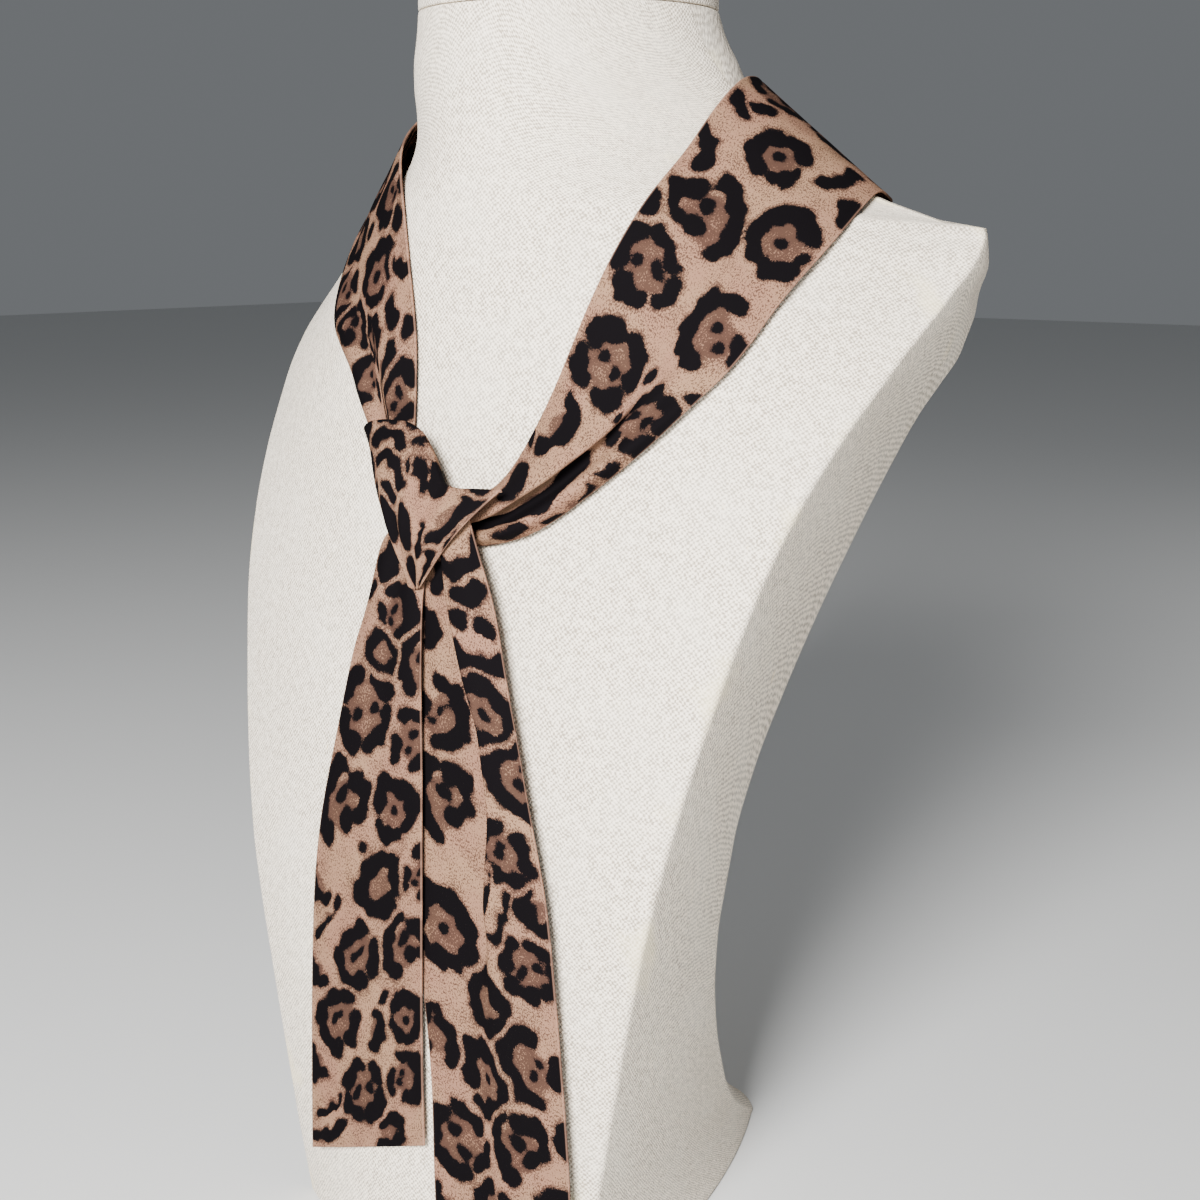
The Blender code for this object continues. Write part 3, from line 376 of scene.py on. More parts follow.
# The large bar at 42 across and 33 along fills the near strap's hollow under its fold: print, laid large
# there to darken the hollow as its shade would, so partly painted shade.
LOOP_CHART = (
    ("bar", 60, 15, 0, 1), ("oval", 8.5, 33, 20, 1.2), ("bar", 42, 33, 2, 2.3), ("oval", 56.5, 22, 0, 1),
    ("streak", 57.5, 43, 0, 1.1), ("oval", 57, 57, 0, 0.7), ("spot", 1, 46.5, 0, 1.1),
    ("comma", 8.5, 56, 20, 1.15), ("spot", 27, 71, 0, 0.7), ("ring", 50, 75, 35, 0.95),
    ("ring", 14.7, 82.5, 20, 1.02), ("spot", 58.5, 88.5, 0, 0.9), ("spot", 33, 88, 0, 0.9),
    ("crescent", 48.5, 110.5, 20, 1.12), ("ring", 12, 114, 62, 0.98), ("spot", 1, 131, 0, 1.2),
    ("hook", 19.5, 138.5, 36, 1.1), ("arch", 47, 149, 38, 1), ("bar", 2.5, 160, 30, 0.95),
    ("oval", 58, 171, 20, 1), ("arch", 27, 174, 30, 0.86), ("oval", 6.5, 183, 30, 0.95),
    ("oval", 12.6, 189, -35, 0.9), ("bar", 47.5, 184, -30, 0.9),
) + repeated(PRINT_REPEAT, REPEAT_FIRST, REPEAT_COUNT) + (
    ("oval", 4.7, 497, 0, 1), ("crescent", 49, 499, 200, 0.95), ("arch", 20, 510, 150, 0.9),
    ("bar", 5.5, 515, 60, 0.95), ("hook", 47, 521, 170, 0.95), ("oval", 11, 528, 0, 0.95),
    ("ring", 29, 534, 90, 0.9), ("spot", 3, 538, 0, 1.1), ("comma", 16, 545, 170, 0.9),
    ("crescent", 48, 546, 160, 0.9), ("crescent", 9, 558, 150, 0.85), ("bar", 28, 558, 20, 0.9),
)
LEFT_TAIL_CHART = (
    ("oval", 6.5, 9.5, 10, 1.15), ("crescent", 16, 24.5, 175, 0.75), ("spot", 2, 22, 0, 0.9),
    ("small", 14, 39.5, 50, 1.05), ("hook", 34, 38, 180, 0.9), ("ring", 12.5, 60, 20, 1.12),
    ("crescent", 37.5, 64, 170, 0.95), ("arch", 36.5, 90.5, 175, 0.88), ("hook", 10.5, 94, 190, 1.08),
    ("spot", 25, 108, 0, 0.8), ("small", 35, 118.5, 90, 1.5), ("crescent", 55, 112, 180, 0.8),
    ("comma", 3.5, 121, 150, 1), ("streak", 8.5, 131, 40, 1), ("split", 26.5, 145.5, 35, 0.95),
    ("hook", 50.5, 141, 185, 0.92), ("comma", 4, 151, 160, 0.8), ("spot", 40.5, 160, 0, 0.9),
    ("split", 16.5, 168.5, 60, 0.98), ("comma", 36.5, 170.5, 30, 0.8), ("arch", 53, 166, 200, 0.72),
    ("comma", 5, 184, 150, 0.85), ("ring", 31, 193.5, 30, 0.92), ("crescent", 53, 188.5, 190, 0.82),
    ("streak", 12.5, 198, 60, 1), ("streak", 10.5, 207, 70, 1.1), ("beans", 46, 209.5, 90, 0.8),
)
RIGHT_TAIL_CHART = (
    ("bar", 53, 9, 80, 1.15), ("oval", 38.5, 15, 60, 0.9), ("oval", 52.5, 19.5, 65, 1.05),
    ("spot", 47.5, 27.5, 0, 1.15), ("spot", 55.5, 29.5, 0, 1.15), ("bar", 51.5, 38.5, 95, 1.1),
    ("comma", 3, 33, 0, 1), ("oval", 8.5, 13, 10, 1), ("arch", 50.5, 55.5, 175, 0.82),
    ("crescent", 14, 62.5, 200, 0.98), ("crescent", 58.5, 75, 10, 0.92), ("hook", 16, 91.5, 185, 1.08),
    ("split", 48, 100.5, 30, 0.84), ("streak", 38.5, 112, 20, 1), ("streak", 43, 121, 24, 1.1),
    ("comma", 57, 116.5, 170, 1), ("arch", 12.5, 133.5, 185, 1.08), ("ring", 51.5, 137.5, 10, 0.86),
    ("small", 30.5, 154, 80, 1.4), ("beans", 3.5, 172, 5, 1.05), ("crescent", 48.5, 171.5, 20, 1.06),
    ("arch", 26.5, 180.5, 170, 1), ("ring", 11, 206, 95, 1.04), ("hook", 41.5, 201.5, 175, 1),
    ("oval", 59, 192, 0, 1), ("crescent", 56, 222, 160, 0.9), ("split", 27, 229, 20, 1),
    ("comma", 6, 231, 150, 1), ("small", 45, 238, 0, 1.2),
)
KNOT_CHART = (
    ("oval", 18.5, 51.5, 90, 0.75), ("oval", 5.5, 48.5, 0, 1), ("bar", 19.5, 44.7, 95, 0.85),
    ("oval", 30.5, 51.5, 90, 0.6), ("oval", 35.5, 48.5, 80, 0.8), ("oval", 42.5, 44.5, 75, 1.2),
    ("bar", 25.5, 37.5, 75, 1.05), ("oval", 27.5, 31.5, 50, 0.9), ("oval", 53, 48, 75, 1.25),
    ("oval", 8.5, 36, 0, 1.1), ("spot", 24, 22.5, 0, 2.2), ("spot", 15, 28.5, 0, 0.9),
    ("oval", 68.5, 50.5, 90, 1.2), ("comma", 66, 37, 10, 1.55), ("bar", 56.5, 27.5, 0, 0.95),
    ("spot", 43, 24, 0, 2.3), ("bar", 65.5, 13, 0, 1.1), ("spot", 45, 8.5, 0, 2.2),
    ("streak", 34, 14, 0, 0.9), ("streak", 75, 29, 0, 0.9), ("spot", 34, 41, 0, 0.6),
    ("oval", 9, 18, 0, 1.2),
)

# ---------------------------------------------------------------- linen
# Lengths are in metres, apart from the edge's reach.  A grain is how many features of a noise go in a
# metre; where it is a pair, along u and along v.  A band is where a soft step starts and ends, and a
# share is how strongly a tone is laid on.
THREAD = 0.00085
THREAD_DRIFT = 0.0014
THREAD_JOLT = 0.0018
DRIFT_GRAIN = 55.0
JOLT_GRAIN = 520.0
UNEVEN = 0.9
UNEVEN_GRAIN = 330.0
SLUB_RISE = 0.15
SLUB_GRAIN = (45.0, 1100.0)
SLUB_BAND = (0.66, 0.86)
CROSS_SLUB_BAND = (0.68, 0.88)
WEAVE_DEPTH = 0.00022
WEAVE_BUMP = 0.8
WEAVE_BAND = (0.10, 0.80)
MOTTLE_GRAIN = 26.0
MOTTLE_BAND = (0.42, 0.75)
YELLOW_GRAIN = 34.0
YELLOW_BAND = (0.66, 0.80)
YELLOW_AT_EDGE = 0.16
# how far the yellower tone reaches from the bust's front edges, millimetres
EDGE_REACH = 9.0
SEED_GRAIN = (330.0, 110.0)
SEED_BAND = (0.76, 0.84)
# the threads' tone, and the dark tone laid where the weave dips between threads, painted shade of the weave;
# for the cover and for the cap
COVER_THREAD = (0.90, 0.795, 0.65, 1.0)
COVER_DIP_SHADE = (0.31, 0.260, 0.20, 1.0)
CAP_THREAD = (0.88, 0.780, 0.64, 1.0)
CAP_DIP_SHADE = (0.28, 0.235, 0.18, 1.0)
MOTTLE_TONE = (0.79, 0.73, 0.62, 1.0)
MOTTLE_SHARE = 0.3
YELLOW_TONE = (0.80, 0.69, 0.44, 1.0)
YELLOW_SHARE = 0.55
SEED_TONE = (0.74, 0.58, 0.34, 1.0)
SEED_SHARE = 0.5

# ---------------------------------------------------------------- printed cloth
# how far noise moves the edges of the ink and of the hearts, millimetres
EDGE_WANDER = 1.5
EDGE_HAIR = 2.4
HEART_HAIR = 3.0
WANDER_GRAIN = 330.0
HAIR_GRAIN = (2300.0, 1500.0)
# depths inside the edge, millimetres
INK_BAND = (-0.30, 0.20)
HALO_BAND = (-1.2, 0.1)
HEART_BAND = (-1.1, 0.9)
NEAR_BAND = (-2.2, -0.1)
# flecks: their grain, and where in its noise one starts
FLECK_GRAIN = (1900.0, 1250.0)
FLECK_BAND = (0.54, 0.58)
# what crowds the flecks: ink nearby, a heart, and patches
CROWD_NEAR = 0.10
CROWD_HEART = 0.145
CROWD_PATCH = 0.30
PATCH_GRAIN = 120.0
# where the ground goes over from tan to rose
CAST_GRAIN = 42.0
CAST_BAND = (0.35, 0.68)
# the twill's pitch and the relief's depth are in metres
TWILL = 0.0007
TWILL_RISE = 0.12
CRINKLE_RISE = 1.4
CRINKLE_GRAIN = 260.0
CLOTH_DEPTH = 0.00025
CLOTH_BUMP = 0.35
# the lighter rim, worn ink with a painted highlight of the folded edge, ends between these distances from it,
# millimetres with a minus
RIM_WEAR_AND_HIGHLIGHT_BAND = (-0.75, -0.25)
TAN_TONE = (0.225, 0.131, 0.080, 1.0)
ROSE_TONE = (0.213, 0.112, 0.074, 1.0)
HEART_TONE = (0.092, 0.048, 0.035, 1.0)
HEART_SHARE = 0.50
HALO_TONE = (0.066, 0.032, 0.024, 1.0)
HALO_SHARE = 0.55
FLECK_TONE = (0.034, 0.017, 0.013, 1.0)
FLECK_SHARE = 0.80
INK_TONE = (0.0034, 0.0028, 0.0033, 1.0)
# the lighter tone of the folded rims: worn ink, and a painted highlight of the rolled edge
RIM_WEAR_AND_HIGHLIGHT_TONE = (0.27, 0.15, 0.105, 1.0)
RIM_WEAR_AND_HIGHLIGHT_SHARE = 0.42

# ---------------------------------------------------------------- stage, metres and watts
FLOOR_HALF = 6.0
FLOOR_TONE = (0.68, 0.68, 0.67, 1.0)
FLOOR_ROUGHNESS = 0.8
STUDIO_TONE = (0.90, 0.95, 1.0, 1.0)
STUDIO_STRENGTH = 0.17
LIGHT_AIM = (0.0, 0.0, 0.22)
# name, place, size, power
LIGHTS = (
    ("key", (0.50, -1.15, 0.72), 0.4, 74.0),
    ("top", (-0.50, -0.60, 1.40), 1.0, 2.0),
    ("back", (0.3, 1.4, 1.2), 1.0, 3.0),
)

# ---------------------------------------------------------------- camera, metres and degrees
# its lens and sensor are in millimetres
CAMERA_PLACE = (0.4500, -0.5362, 0.354)
CAMERA_DOWN = 10.8
CAMERA_TURN = 39.112
CAMERA_LENS = 60.0
CAMERA_SENSOR = 36.0


# ================================================================ curves and grids
def spline_weights(knots, places):
    """Rows of weights: the natural cubic spline through any values at the knots, read at the places."""
    knots = np.asarray(knots, float)
    places = np.asarray(places, float)
    count = len(knots)
    step = np.diff(knots)
    inner = np.arange(1, count - 1)
    left = np.eye(count)
    right = np.zeros((count, count))
    left[inner, inner - 1] = step[:-1]
    left[inner, inner] = 2.0 * (step[:-1] + step[1:])
    left[inner, inner + 1] = step[1:]
    right[inner, inner - 1] = 6.0 / step[:-1]
    right[inner, inner] = -6.0 / step[:-1] - 6.0 / step[1:]
    right[inner, inner + 1] = 6.0 / step[1:]
    bend = np.linalg.solve(left, right)
    k = np.clip(np.searchsorted(knots, places, side="right") - 1, 0, count - 2)
    wide = step[k][:, None]
    after = (places - knots[k])[:, None]
    before = wide - after
    unit = np.eye(count)
    straight = (unit[k] * before + unit[k + 1] * after) / wide
    curved = bend[k] * (before ** 3 / wide - wide * before) + bend[k + 1] * (after ** 3 / wide - wide * after)
    return straight + curved / 6.0


def soft_rows(rows, keys, places):
    """Rows of a table read at any place, by cubics that never run past the rows."""
    rows = np.asarray(rows, float)
    keys = np.asarray(keys, float)
    step = np.diff(keys)[:, None]
    slope = np.diff(rows, axis=0) / step
    before = slope[:-1]
    after = slope[1:]
    same_way = before * after > 0.0
    total = np.where(same_way, before + after, 1.0)
    tangent = np.empty_like(rows)
    tangent[1:-1] = np.where(same_way, 2.0 * before * after / total, 0.0)
    tangent[0] = slope[0]
    tangent[-1] = slope[-1]
    k = np.clip(np.searchsorted(keys, places, side="right") - 1, 0, len(keys) - 2)
    wide = step[k]
    t = ((places - keys[k]) / wide[:, 0])[:, None]
    near = (2.0 * t ** 3 - 3.0 * t ** 2 + 1.0) * rows[k] + (t ** 3 - 2.0 * t ** 2 + t) * wide * tangent[k]
    far = (3.0 * t ** 2 - 2.0 * t ** 3) * rows[k + 1] + (t ** 3 - t ** 2) * wide * tangent[k + 1]
    return near + far


def grid_normals(grid, outward):
    """Unit normals of a grid of points: the cross product of its two directions, turned outward."""
    normals = np.cross(np.gradient(grid, axis=0), np.gradient(grid, axis=1))
    normals /= np.maximum(np.linalg.norm(normals, axis=2), 1e-9)[:, :, None]
    return normals * np.sign((normals * outward).sum())


def run_lengths(grid, axis):
    """Distance along the grid's lines, added up from their start."""
    steps = np.linalg.norm(np.diff(grid, axis=axis), axis=2)
    start = np.zeros_like(np.take(steps, [0], axis=axis))
    return np.concatenate([start, np.cumsum(steps, axis=axis)], axis=axis)


def grid_quads(index):
    """Quads between the neighbours of a grid of vertex numbers."""
    corners = (index[:-1, :-1], index[:-1, 1:], index[1:, 1:], index[1:, :-1])
    return np.stack(corners, axis=-1).reshape(-1, 4)


def make_piece(name, points, faces, material, uv, marks):
    """A mesh from points in millimetres, with a UV per face corner and named marks per vertex."""
    mesh = bpy.data.meshes.new(name)
    mesh.from_pydata(((points + np.array([0.0, PLAN_SHIFT, 0.0])) * MM).tolist(), [], faces)
    layer = mesh.uv_layers.new(name="cloth")
    layer.data.foreach_set("uv", (uv * MM).astype(np.float32).ravel())
    for key, values in marks.items():
        attribute = mesh.attributes.new(key, "FLOAT", "POINT")
        attribute.data.foreach_set("value", values.astype(np.float32))
    mesh.materials.append(material)
    mesh.shade_smooth()
    mesh.update()
    piece = bpy.data.objects.new(name, mesh)
    bpy.context.scene.collection.objects.link(piece)
    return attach(piece, "root")


# ================================================================ node helpers
def add(tree, kind, sockets=None, **settings):
    """A node with its settings, and each named socket set to a value or linked from an output."""
    made = tree.nodes.new(kind)
    for key, value in settings.items():
        setattr(made, key, value)
    for key, value in (sockets or {}).items():
        if isinstance(value, bpy.types.NodeSocket):
            tree.links.new(value, made.inputs[key])
        else:
            made.inputs[key].default_value = value
    return made


def maths(tree, operation, *values):
    """A number worked out from values or outputs."""
    return add(tree, "ShaderNodeMath", dict(enumerate(values)), operation=operation).outputs[0]


def vectors(tree, operation, *values):
    """A vector worked out from vectors, or its length or dot product as a number."""
    made = add(tree, "ShaderNodeVectorMath", dict(enumerate(values)), operation=operation)
    return made.outputs["Value"] if operation in ("LENGTH", "DOT_PRODUCT") else made.outputs[0]


def scaled(tree, vector, factor):
    """The vector times a number."""
    made = add(tree, "ShaderNodeVectorMath", {0: vector, "Scale": factor}, operation="SCALE")
    return made.outputs[0]


def soft_step(tree, value, low, high):
    """0 below low, 1 above high, and a smooth rise between."""
    sockets = {"Value": value, "From Min": low, "From Max": high}
    made = add(tree, "ShaderNodeMapRange", sockets, interpolation_type="SMOOTHSTEP")
    return made.outputs[0]


def noise(tree, vector, scale, detail=2.0, rough=0.5):
    """A noise node with this many features in a unit of the vector."""
    sockets = {"Vector": vector, "Scale": scale, "Detail": detail, "Roughness": rough}
    return add(tree, "ShaderNodeTexNoise", sockets)


def stretched(tree, vector, along, across):
    """The vector scaled by different amounts in u and v."""
    return vectors(tree, "MULTIPLY", vector, (along, across, 1.0))


def mixed(tree, factor, first, second):
    """The first colour where the factor is 0, the second where it is 1."""
    made = add(tree, "ShaderNodeMix", data_type="RGBA")
    for socket, value in ((made.inputs[0], factor), (made.inputs[6], first), (made.inputs[7], second)):
        if isinstance(value, bpy.types.NodeSocket):
            tree.links.new(value, socket)
        else:
            socket.default_value = value
    return made.outputs[2]


def tinted(tree, colour, mask, strength, tone):
    """The colour turned toward a tone by a share of the mask."""
    return mixed(tree, maths(tree, "MULTIPLY", mask, strength), colour, tone)


def stirred(tree, value, grain, amount):
    """The value moved up and down by this much of a noise's output."""
    return maths(tree, "MULTIPLY_ADD", maths(tree, "SUBTRACT", grain, 0.5), amount, value)


def inside(tree, distance, band):
    """A mask of what lies inside an edge: its distance's negative, stepped over the band."""
    return soft_step(tree, maths(tree, "MULTIPLY", distance, -1.0), *band)


def new_group(name, inputs, outputs):
    """An empty node group; inputs and outputs are (name, socket type) pairs."""
    group = bpy.data.node_groups.new(name, "ShaderNodeTree")
    for label, kind in inputs:
        group.interface.new_socket(label, in_out="INPUT", socket_type=kind)
    for label, kind in outputs:
        group.interface.new_socket(label, in_out="OUTPUT", socket_type=kind)
    return group, group.nodes.new("NodeGroupInput").outputs, group.nodes.new("NodeGroupOutput").inputs


def weave_group():
    """Plain weave: threads over and under in a chequer, uneven in spacing, with a few thick slubs.

    Height is half the product of two sines, plus a little of the size of each, on places that noise
    moves about.
    """
    group, given, wanted = new_group(
        "plain_weave",
        [("Place", "NodeSocketVector"), ("Pitch", "NodeSocketFloat")],
        [("Height", "NodeSocketFloat")],
    )
    place = given["Place"]
    moved = place
    for grain, reach in ((DRIFT_GRAIN, THREAD_DRIFT), (JOLT_GRAIN, THREAD_JOLT)):
        away = vectors(group, "SUBTRACT", noise(group, place, grain).outputs["Color"], (0.5, 0.5, 0.5))
        moved = vectors(group, "ADD", moved, scaled(group, away, reach))
    turns = maths(group, "DIVIDE", math.pi, given["Pitch"])
    parts = add(group, "ShaderNodeSeparateXYZ", {0: scaled(group, moved, turns)}).outputs
    warp = maths(group, "SINE", parts[0])
    weft = maths(group, "SINE", parts[1])
    over = maths(group, "MULTIPLY", warp, weft)
    ribs = maths(group, "ADD", maths(group, "ABSOLUTE", warp), maths(group, "ABSOLUTE", weft))
    height = maths(group, "MULTIPLY_ADD", over, 0.5, maths(group, "MULTIPLY_ADD", ribs, 0.06, 0.44))
    height = stirred(group, height, noise(group, place, UNEVEN_GRAIN, 2.0, 0.7).outputs[0], UNEVEN)
    along = noise(group, stretched(group, place, *SLUB_GRAIN), 1.0, 1.0).outputs[0]
    across = noise(group, stretched(group, place, *SLUB_GRAIN[::-1]), 1.0, 1.0).outputs[0]
    slub = maths(
        group, "MAXIMUM", soft_step(group, along, *SLUB_BAND), soft_step(group, across, *CROSS_SLUB_BAND)
    )
    group.links.new(maths(group, "MULTIPLY_ADD", slub, SLUB_RISE, height), wanted["Height"])
    return group


def print_group():
    """Masks of the print, from distances in millimetres to the edges of its ink and its hearts.

    Fine noise of several sizes moves the edges in and out, which makes them hairy; flecks of ink lie
    all over the ground, close together in the hearts and near the ink.
    """
    group, given, wanted = new_group(
        "rosette_print",
        [("Place", "NodeSocketVector"), ("Ink Edge", "NodeSocketFloat"), ("Heart Edge", "NodeSocketFloat")],
        [(name, "NodeSocketFloat") for name in ("Ink", "Halo", "Heart", "Fleck")],
    )
    place = given["Place"]
    wander = noise(group, place, WANDER_GRAIN, 2.0, 0.6).outputs[0]
    hair = noise(group, stretched(group, place, *HAIR_GRAIN), 1.0, 2.0, 0.8).outputs[0]
    edge = stirred(group, given["Ink Edge"], wander, EDGE_WANDER)
    edge = stirred(group, edge, hair, EDGE_HAIR)
    heart = inside(group, stirred(group, given["Heart Edge"], hair, HEART_HAIR), HEART_BAND)
    near = inside(group, given["Ink Edge"], NEAR_BAND)
    grain = noise(group, stretched(group, place, *FLECK_GRAIN), 1.0, 1.0, 0.8).outputs[0]
    crowd = maths(group, "MULTIPLY_ADD", near, CROWD_NEAR, maths(group, "MULTIPLY", heart, CROWD_HEART))
    crowd = stirred(group, crowd, noise(group, place, PATCH_GRAIN).outputs[0], CROWD_PATCH)
    masks = {
        "Ink": inside(group, edge, INK_BAND),
        "Halo": inside(group, edge, HALO_BAND),
        "Heart": heart,
        "Fleck": soft_step(group, maths(group, "ADD", grain, crowd), *FLECK_BAND),
    }
    for name, value in masks.items():
        group.links.new(value, wanted[name])
    return group


def start_material(name, **sockets):
    """A material whose shader has these plain values; gives its tree, shader and the cloth's UV."""
    material = bpy.data.materials.new(name)
    material.use_nodes = True
    tree = material.node_tree
    shader = tree.nodes["Principled BSDF"]
    for key, value in sockets.items():
        shader.inputs[key.replace("_", " ")].default_value = value
    place = add(tree, "ShaderNodeUVMap", uv_map="cloth").outputs[0]
    return material, tree, shader, place


def mark(tree, name):
    """The piece's own mark of this name, as a number."""
    return add(tree, "ShaderNodeAttribute", attribute_name=name).outputs["Fac"]


def finish_material(tree, shader, colour, relief, strength, depth):
    """Puts the colour and the relief's bump into the shader."""
    tree.links.new(colour, shader.inputs["Base Color"])
    raised = add(tree, "ShaderNodeBump", {"Height": relief, "Strength": strength, "Distance": depth})
    tree.links.new(raised.outputs[0], shader.inputs["Normal"])


def linen_material(name, weave, thread_tone, dip_shade_tone):
    """Off-white linen: weave in bump with painted shade in its dips, mottle, yellowed patches, yellower front
    edges, specks of seed.
    """
    material, tree, shader, place = start_material(
        name, Roughness=0.88, Specular_IOR_Level=0.2, Sheen_Weight=0.08, Sheen_Roughness=0.6
    )
    woven = add(tree, "ShaderNodeGroup", {}, node_tree=weave)
    tree.links.new(place, woven.inputs["Place"])
    woven.inputs["Pitch"].default_value = THREAD
    height = woven.outputs["Height"]
    # the weave's low places take the dark tone: painted shade in its dips
    colour = mixed(tree, soft_step(tree, height, *WEAVE_BAND), dip_shade_tone, thread_tone)
    mottle = soft_step(tree, noise(tree, place, MOTTLE_GRAIN, 3.0, 0.6).outputs[0], *MOTTLE_BAND)
    colour = tinted(tree, colour, mottle, MOTTLE_SHARE, MOTTLE_TONE)
    yellow = noise(tree, place, YELLOW_GRAIN, 2.0, 0.5).outputs[0]
    # more of the bust turns yellow close to its front edges
    yellow = maths(tree, "MULTIPLY_ADD", mark(tree, "edge_band"), YELLOW_AT_EDGE, yellow)
    colour = tinted(tree, colour, soft_step(tree, yellow, *YELLOW_BAND), YELLOW_SHARE, YELLOW_TONE)
    seed = noise(tree, stretched(tree, place, *SEED_GRAIN), 1.0, 1.0).outputs[0]
    colour = tinted(tree, colour, soft_step(tree, seed, *SEED_BAND), SEED_SHARE, SEED_TONE)
    finish_material(tree, shader, colour, height, WEAVE_BUMP, WEAVE_DEPTH)
    return material


def print_material(name, masks):
    """Printed ribbon cloth: rosy tan ground, brown hearts and flecks, near-black ink, lighter rims of worn
    ink with painted highlight.
    """
    material, tree, shader, place = start_material(name, Roughness=0.75, Specular_IOR_Level=0.01)
    printed = add(tree, "ShaderNodeGroup", {}, node_tree=masks)
    tree.links.new(place, printed.inputs["Place"])
    tree.links.new(mark(tree, "ink_edge"), printed.inputs["Ink Edge"])
    tree.links.new(mark(tree, "heart_edge"), printed.inputs["Heart Edge"])
    cast = soft_step(tree, noise(tree, place, CAST_GRAIN).outputs[0], *CAST_BAND)
    colour = mixed(tree, cast, TAN_TONE, ROSE_TONE)
    colour = tinted(tree, colour, printed.outputs["Heart"], HEART_SHARE, HEART_TONE)
    colour = tinted(tree, colour, printed.outputs["Halo"], HALO_SHARE, HALO_TONE)
    colour = tinted(tree, colour, printed.outputs["Fleck"], FLECK_SHARE, FLECK_TONE)
    colour = mixed(tree, printed.outputs["Ink"], colour, INK_TONE)
    # the folded edges turn lighter: worn ink, and a painted highlight of the rolled edge
    rim_wear_and_highlight = inside(tree, mark(tree, "from_rim"), RIM_WEAR_AND_HIGHLIGHT_BAND)
    colour = tinted(tree, colour, rim_wear_and_highlight, RIM_WEAR_AND_HIGHLIGHT_SHARE, RIM_WEAR_AND_HIGHLIGHT_TONE)
    parts = add(tree, "ShaderNodeSeparateXYZ", {0: scaled(tree, place, 2.0 * math.pi / TWILL)}).outputs
    twill = maths(tree, "MULTIPLY", maths(tree, "SINE", maths(tree, "ADD", parts[0], parts[1])), TWILL_RISE)
    crinkle = noise(tree, place, CRINKLE_GRAIN, 3.0, 0.6).outputs[0]
    relief = maths(tree, "MULTIPLY_ADD", crinkle, CRINKLE_RISE, twill)
    finish_material(tree, shader, colour, relief, CLOTH_BUMP, CLOTH_DEPTH)
    return material


# ================================================================ bust
def corner_turn(wide, rise, power, size):
    """The angle short of a quarter turn at which the cover's curve is this far from its edge."""
    low = np.zeros_like(wide)
    high = np.full_like(wide, 0.8)
    for _ in range(40):
        middle = 0.5 * (low + high)
        far = np.hypot(wide * (1.0 - np.cos(middle)), rise * np.sin(middle) ** power)
        low = np.where(far < size, middle, low)
        high = np.where(far < size, high, middle)
    return middle


def rounded(before, corner, after, count):
    """Points on the quadratic curve from one point to the other that turns at the corner."""
    t = np.linspace(0.0, 1.0, count)[None, :, None]
    before, corner, after = (p[:, None, :] for p in (before, corner, after))
    return (1.0 - t) ** 2 * before + 2.0 * t * (1.0 - t) * corner + t ** 2 * after


def half_sections(values):
    """x and y of each level from the centre front round the arm side to the centre back.

    The front and rear covers are quarter ovals, cosine to a power; the arm side is a straight line
    with a slight swell; the two edges between them are rounded.
    """
    front, wide, edge, rear_wide, rear, swell, back, _, power = values.T
    side = np.stack([rear_wide - wide, rear - edge], axis=1)
    length = np.hypot(side[:, 0], side[:, 1])
    along = side / length[:, None]
    size = np.minimum(EDGE_ROUND, CORNER_SHARE * length)
    rear_size = np.minimum(REAR_ROUND, CORNER_SHARE * length)
    turn = corner_turn(wide, np.abs(front - edge), power, size)
    shares = np.linspace(0.0, 1.0, FRONT_POINTS) ** FRONT_CROWDING
    angle = (0.5 * math.pi - turn)[:, None] * shares[None, :]
    front_x = wide[:, None] * np.sin(angle)
    front_y = edge[:, None] + (front - edge)[:, None] * np.cos(angle) ** power[:, None]
    cover = np.stack([front_x, front_y], axis=2)
    corner = np.stack([wide, edge], axis=1)
    rear_corner = np.stack([rear_wide, rear], axis=1)
    after = corner + along * size[:, None]
    before_rear = rear_corner - along * rear_size[:, None]
    rear_turn = corner_turn(rear_wide, np.abs(back - rear), power, rear_size)
    share = np.linspace(0.0, 1.0, SIDE_POINTS)[None, :, None]
    panel = after[:, None, :] + (before_rear - after)[:, None, :] * share
    outward = np.stack([along[:, 1], -along[:, 0]], axis=1)
    panel += outward[:, None, :] * (swell[:, None, None] * 4.0 * share * (1.0 - share))
    angle = rear_turn[:, None] + (0.5 * math.pi - rear_turn)[:, None] * np.linspace(0.0, 1.0, REAR_POINTS)
    rear_x = rear_wide[:, None] * np.cos(angle)
    rear_y = rear[:, None] + (back - rear)[:, None] * np.sin(angle) ** power[:, None]
    seat = np.stack([rear_x, rear_y], axis=2)
    first = rounded(cover[:, -1], corner, panel[:, 0], CORNER_POINTS)[:, 1:-1]
    second = rounded(panel[:, -1], rear_corner, seat[:, 0], CORNER_POINTS)[:, 1:-1]
    return np.concatenate([cover, first, panel, second, seat], axis=1)


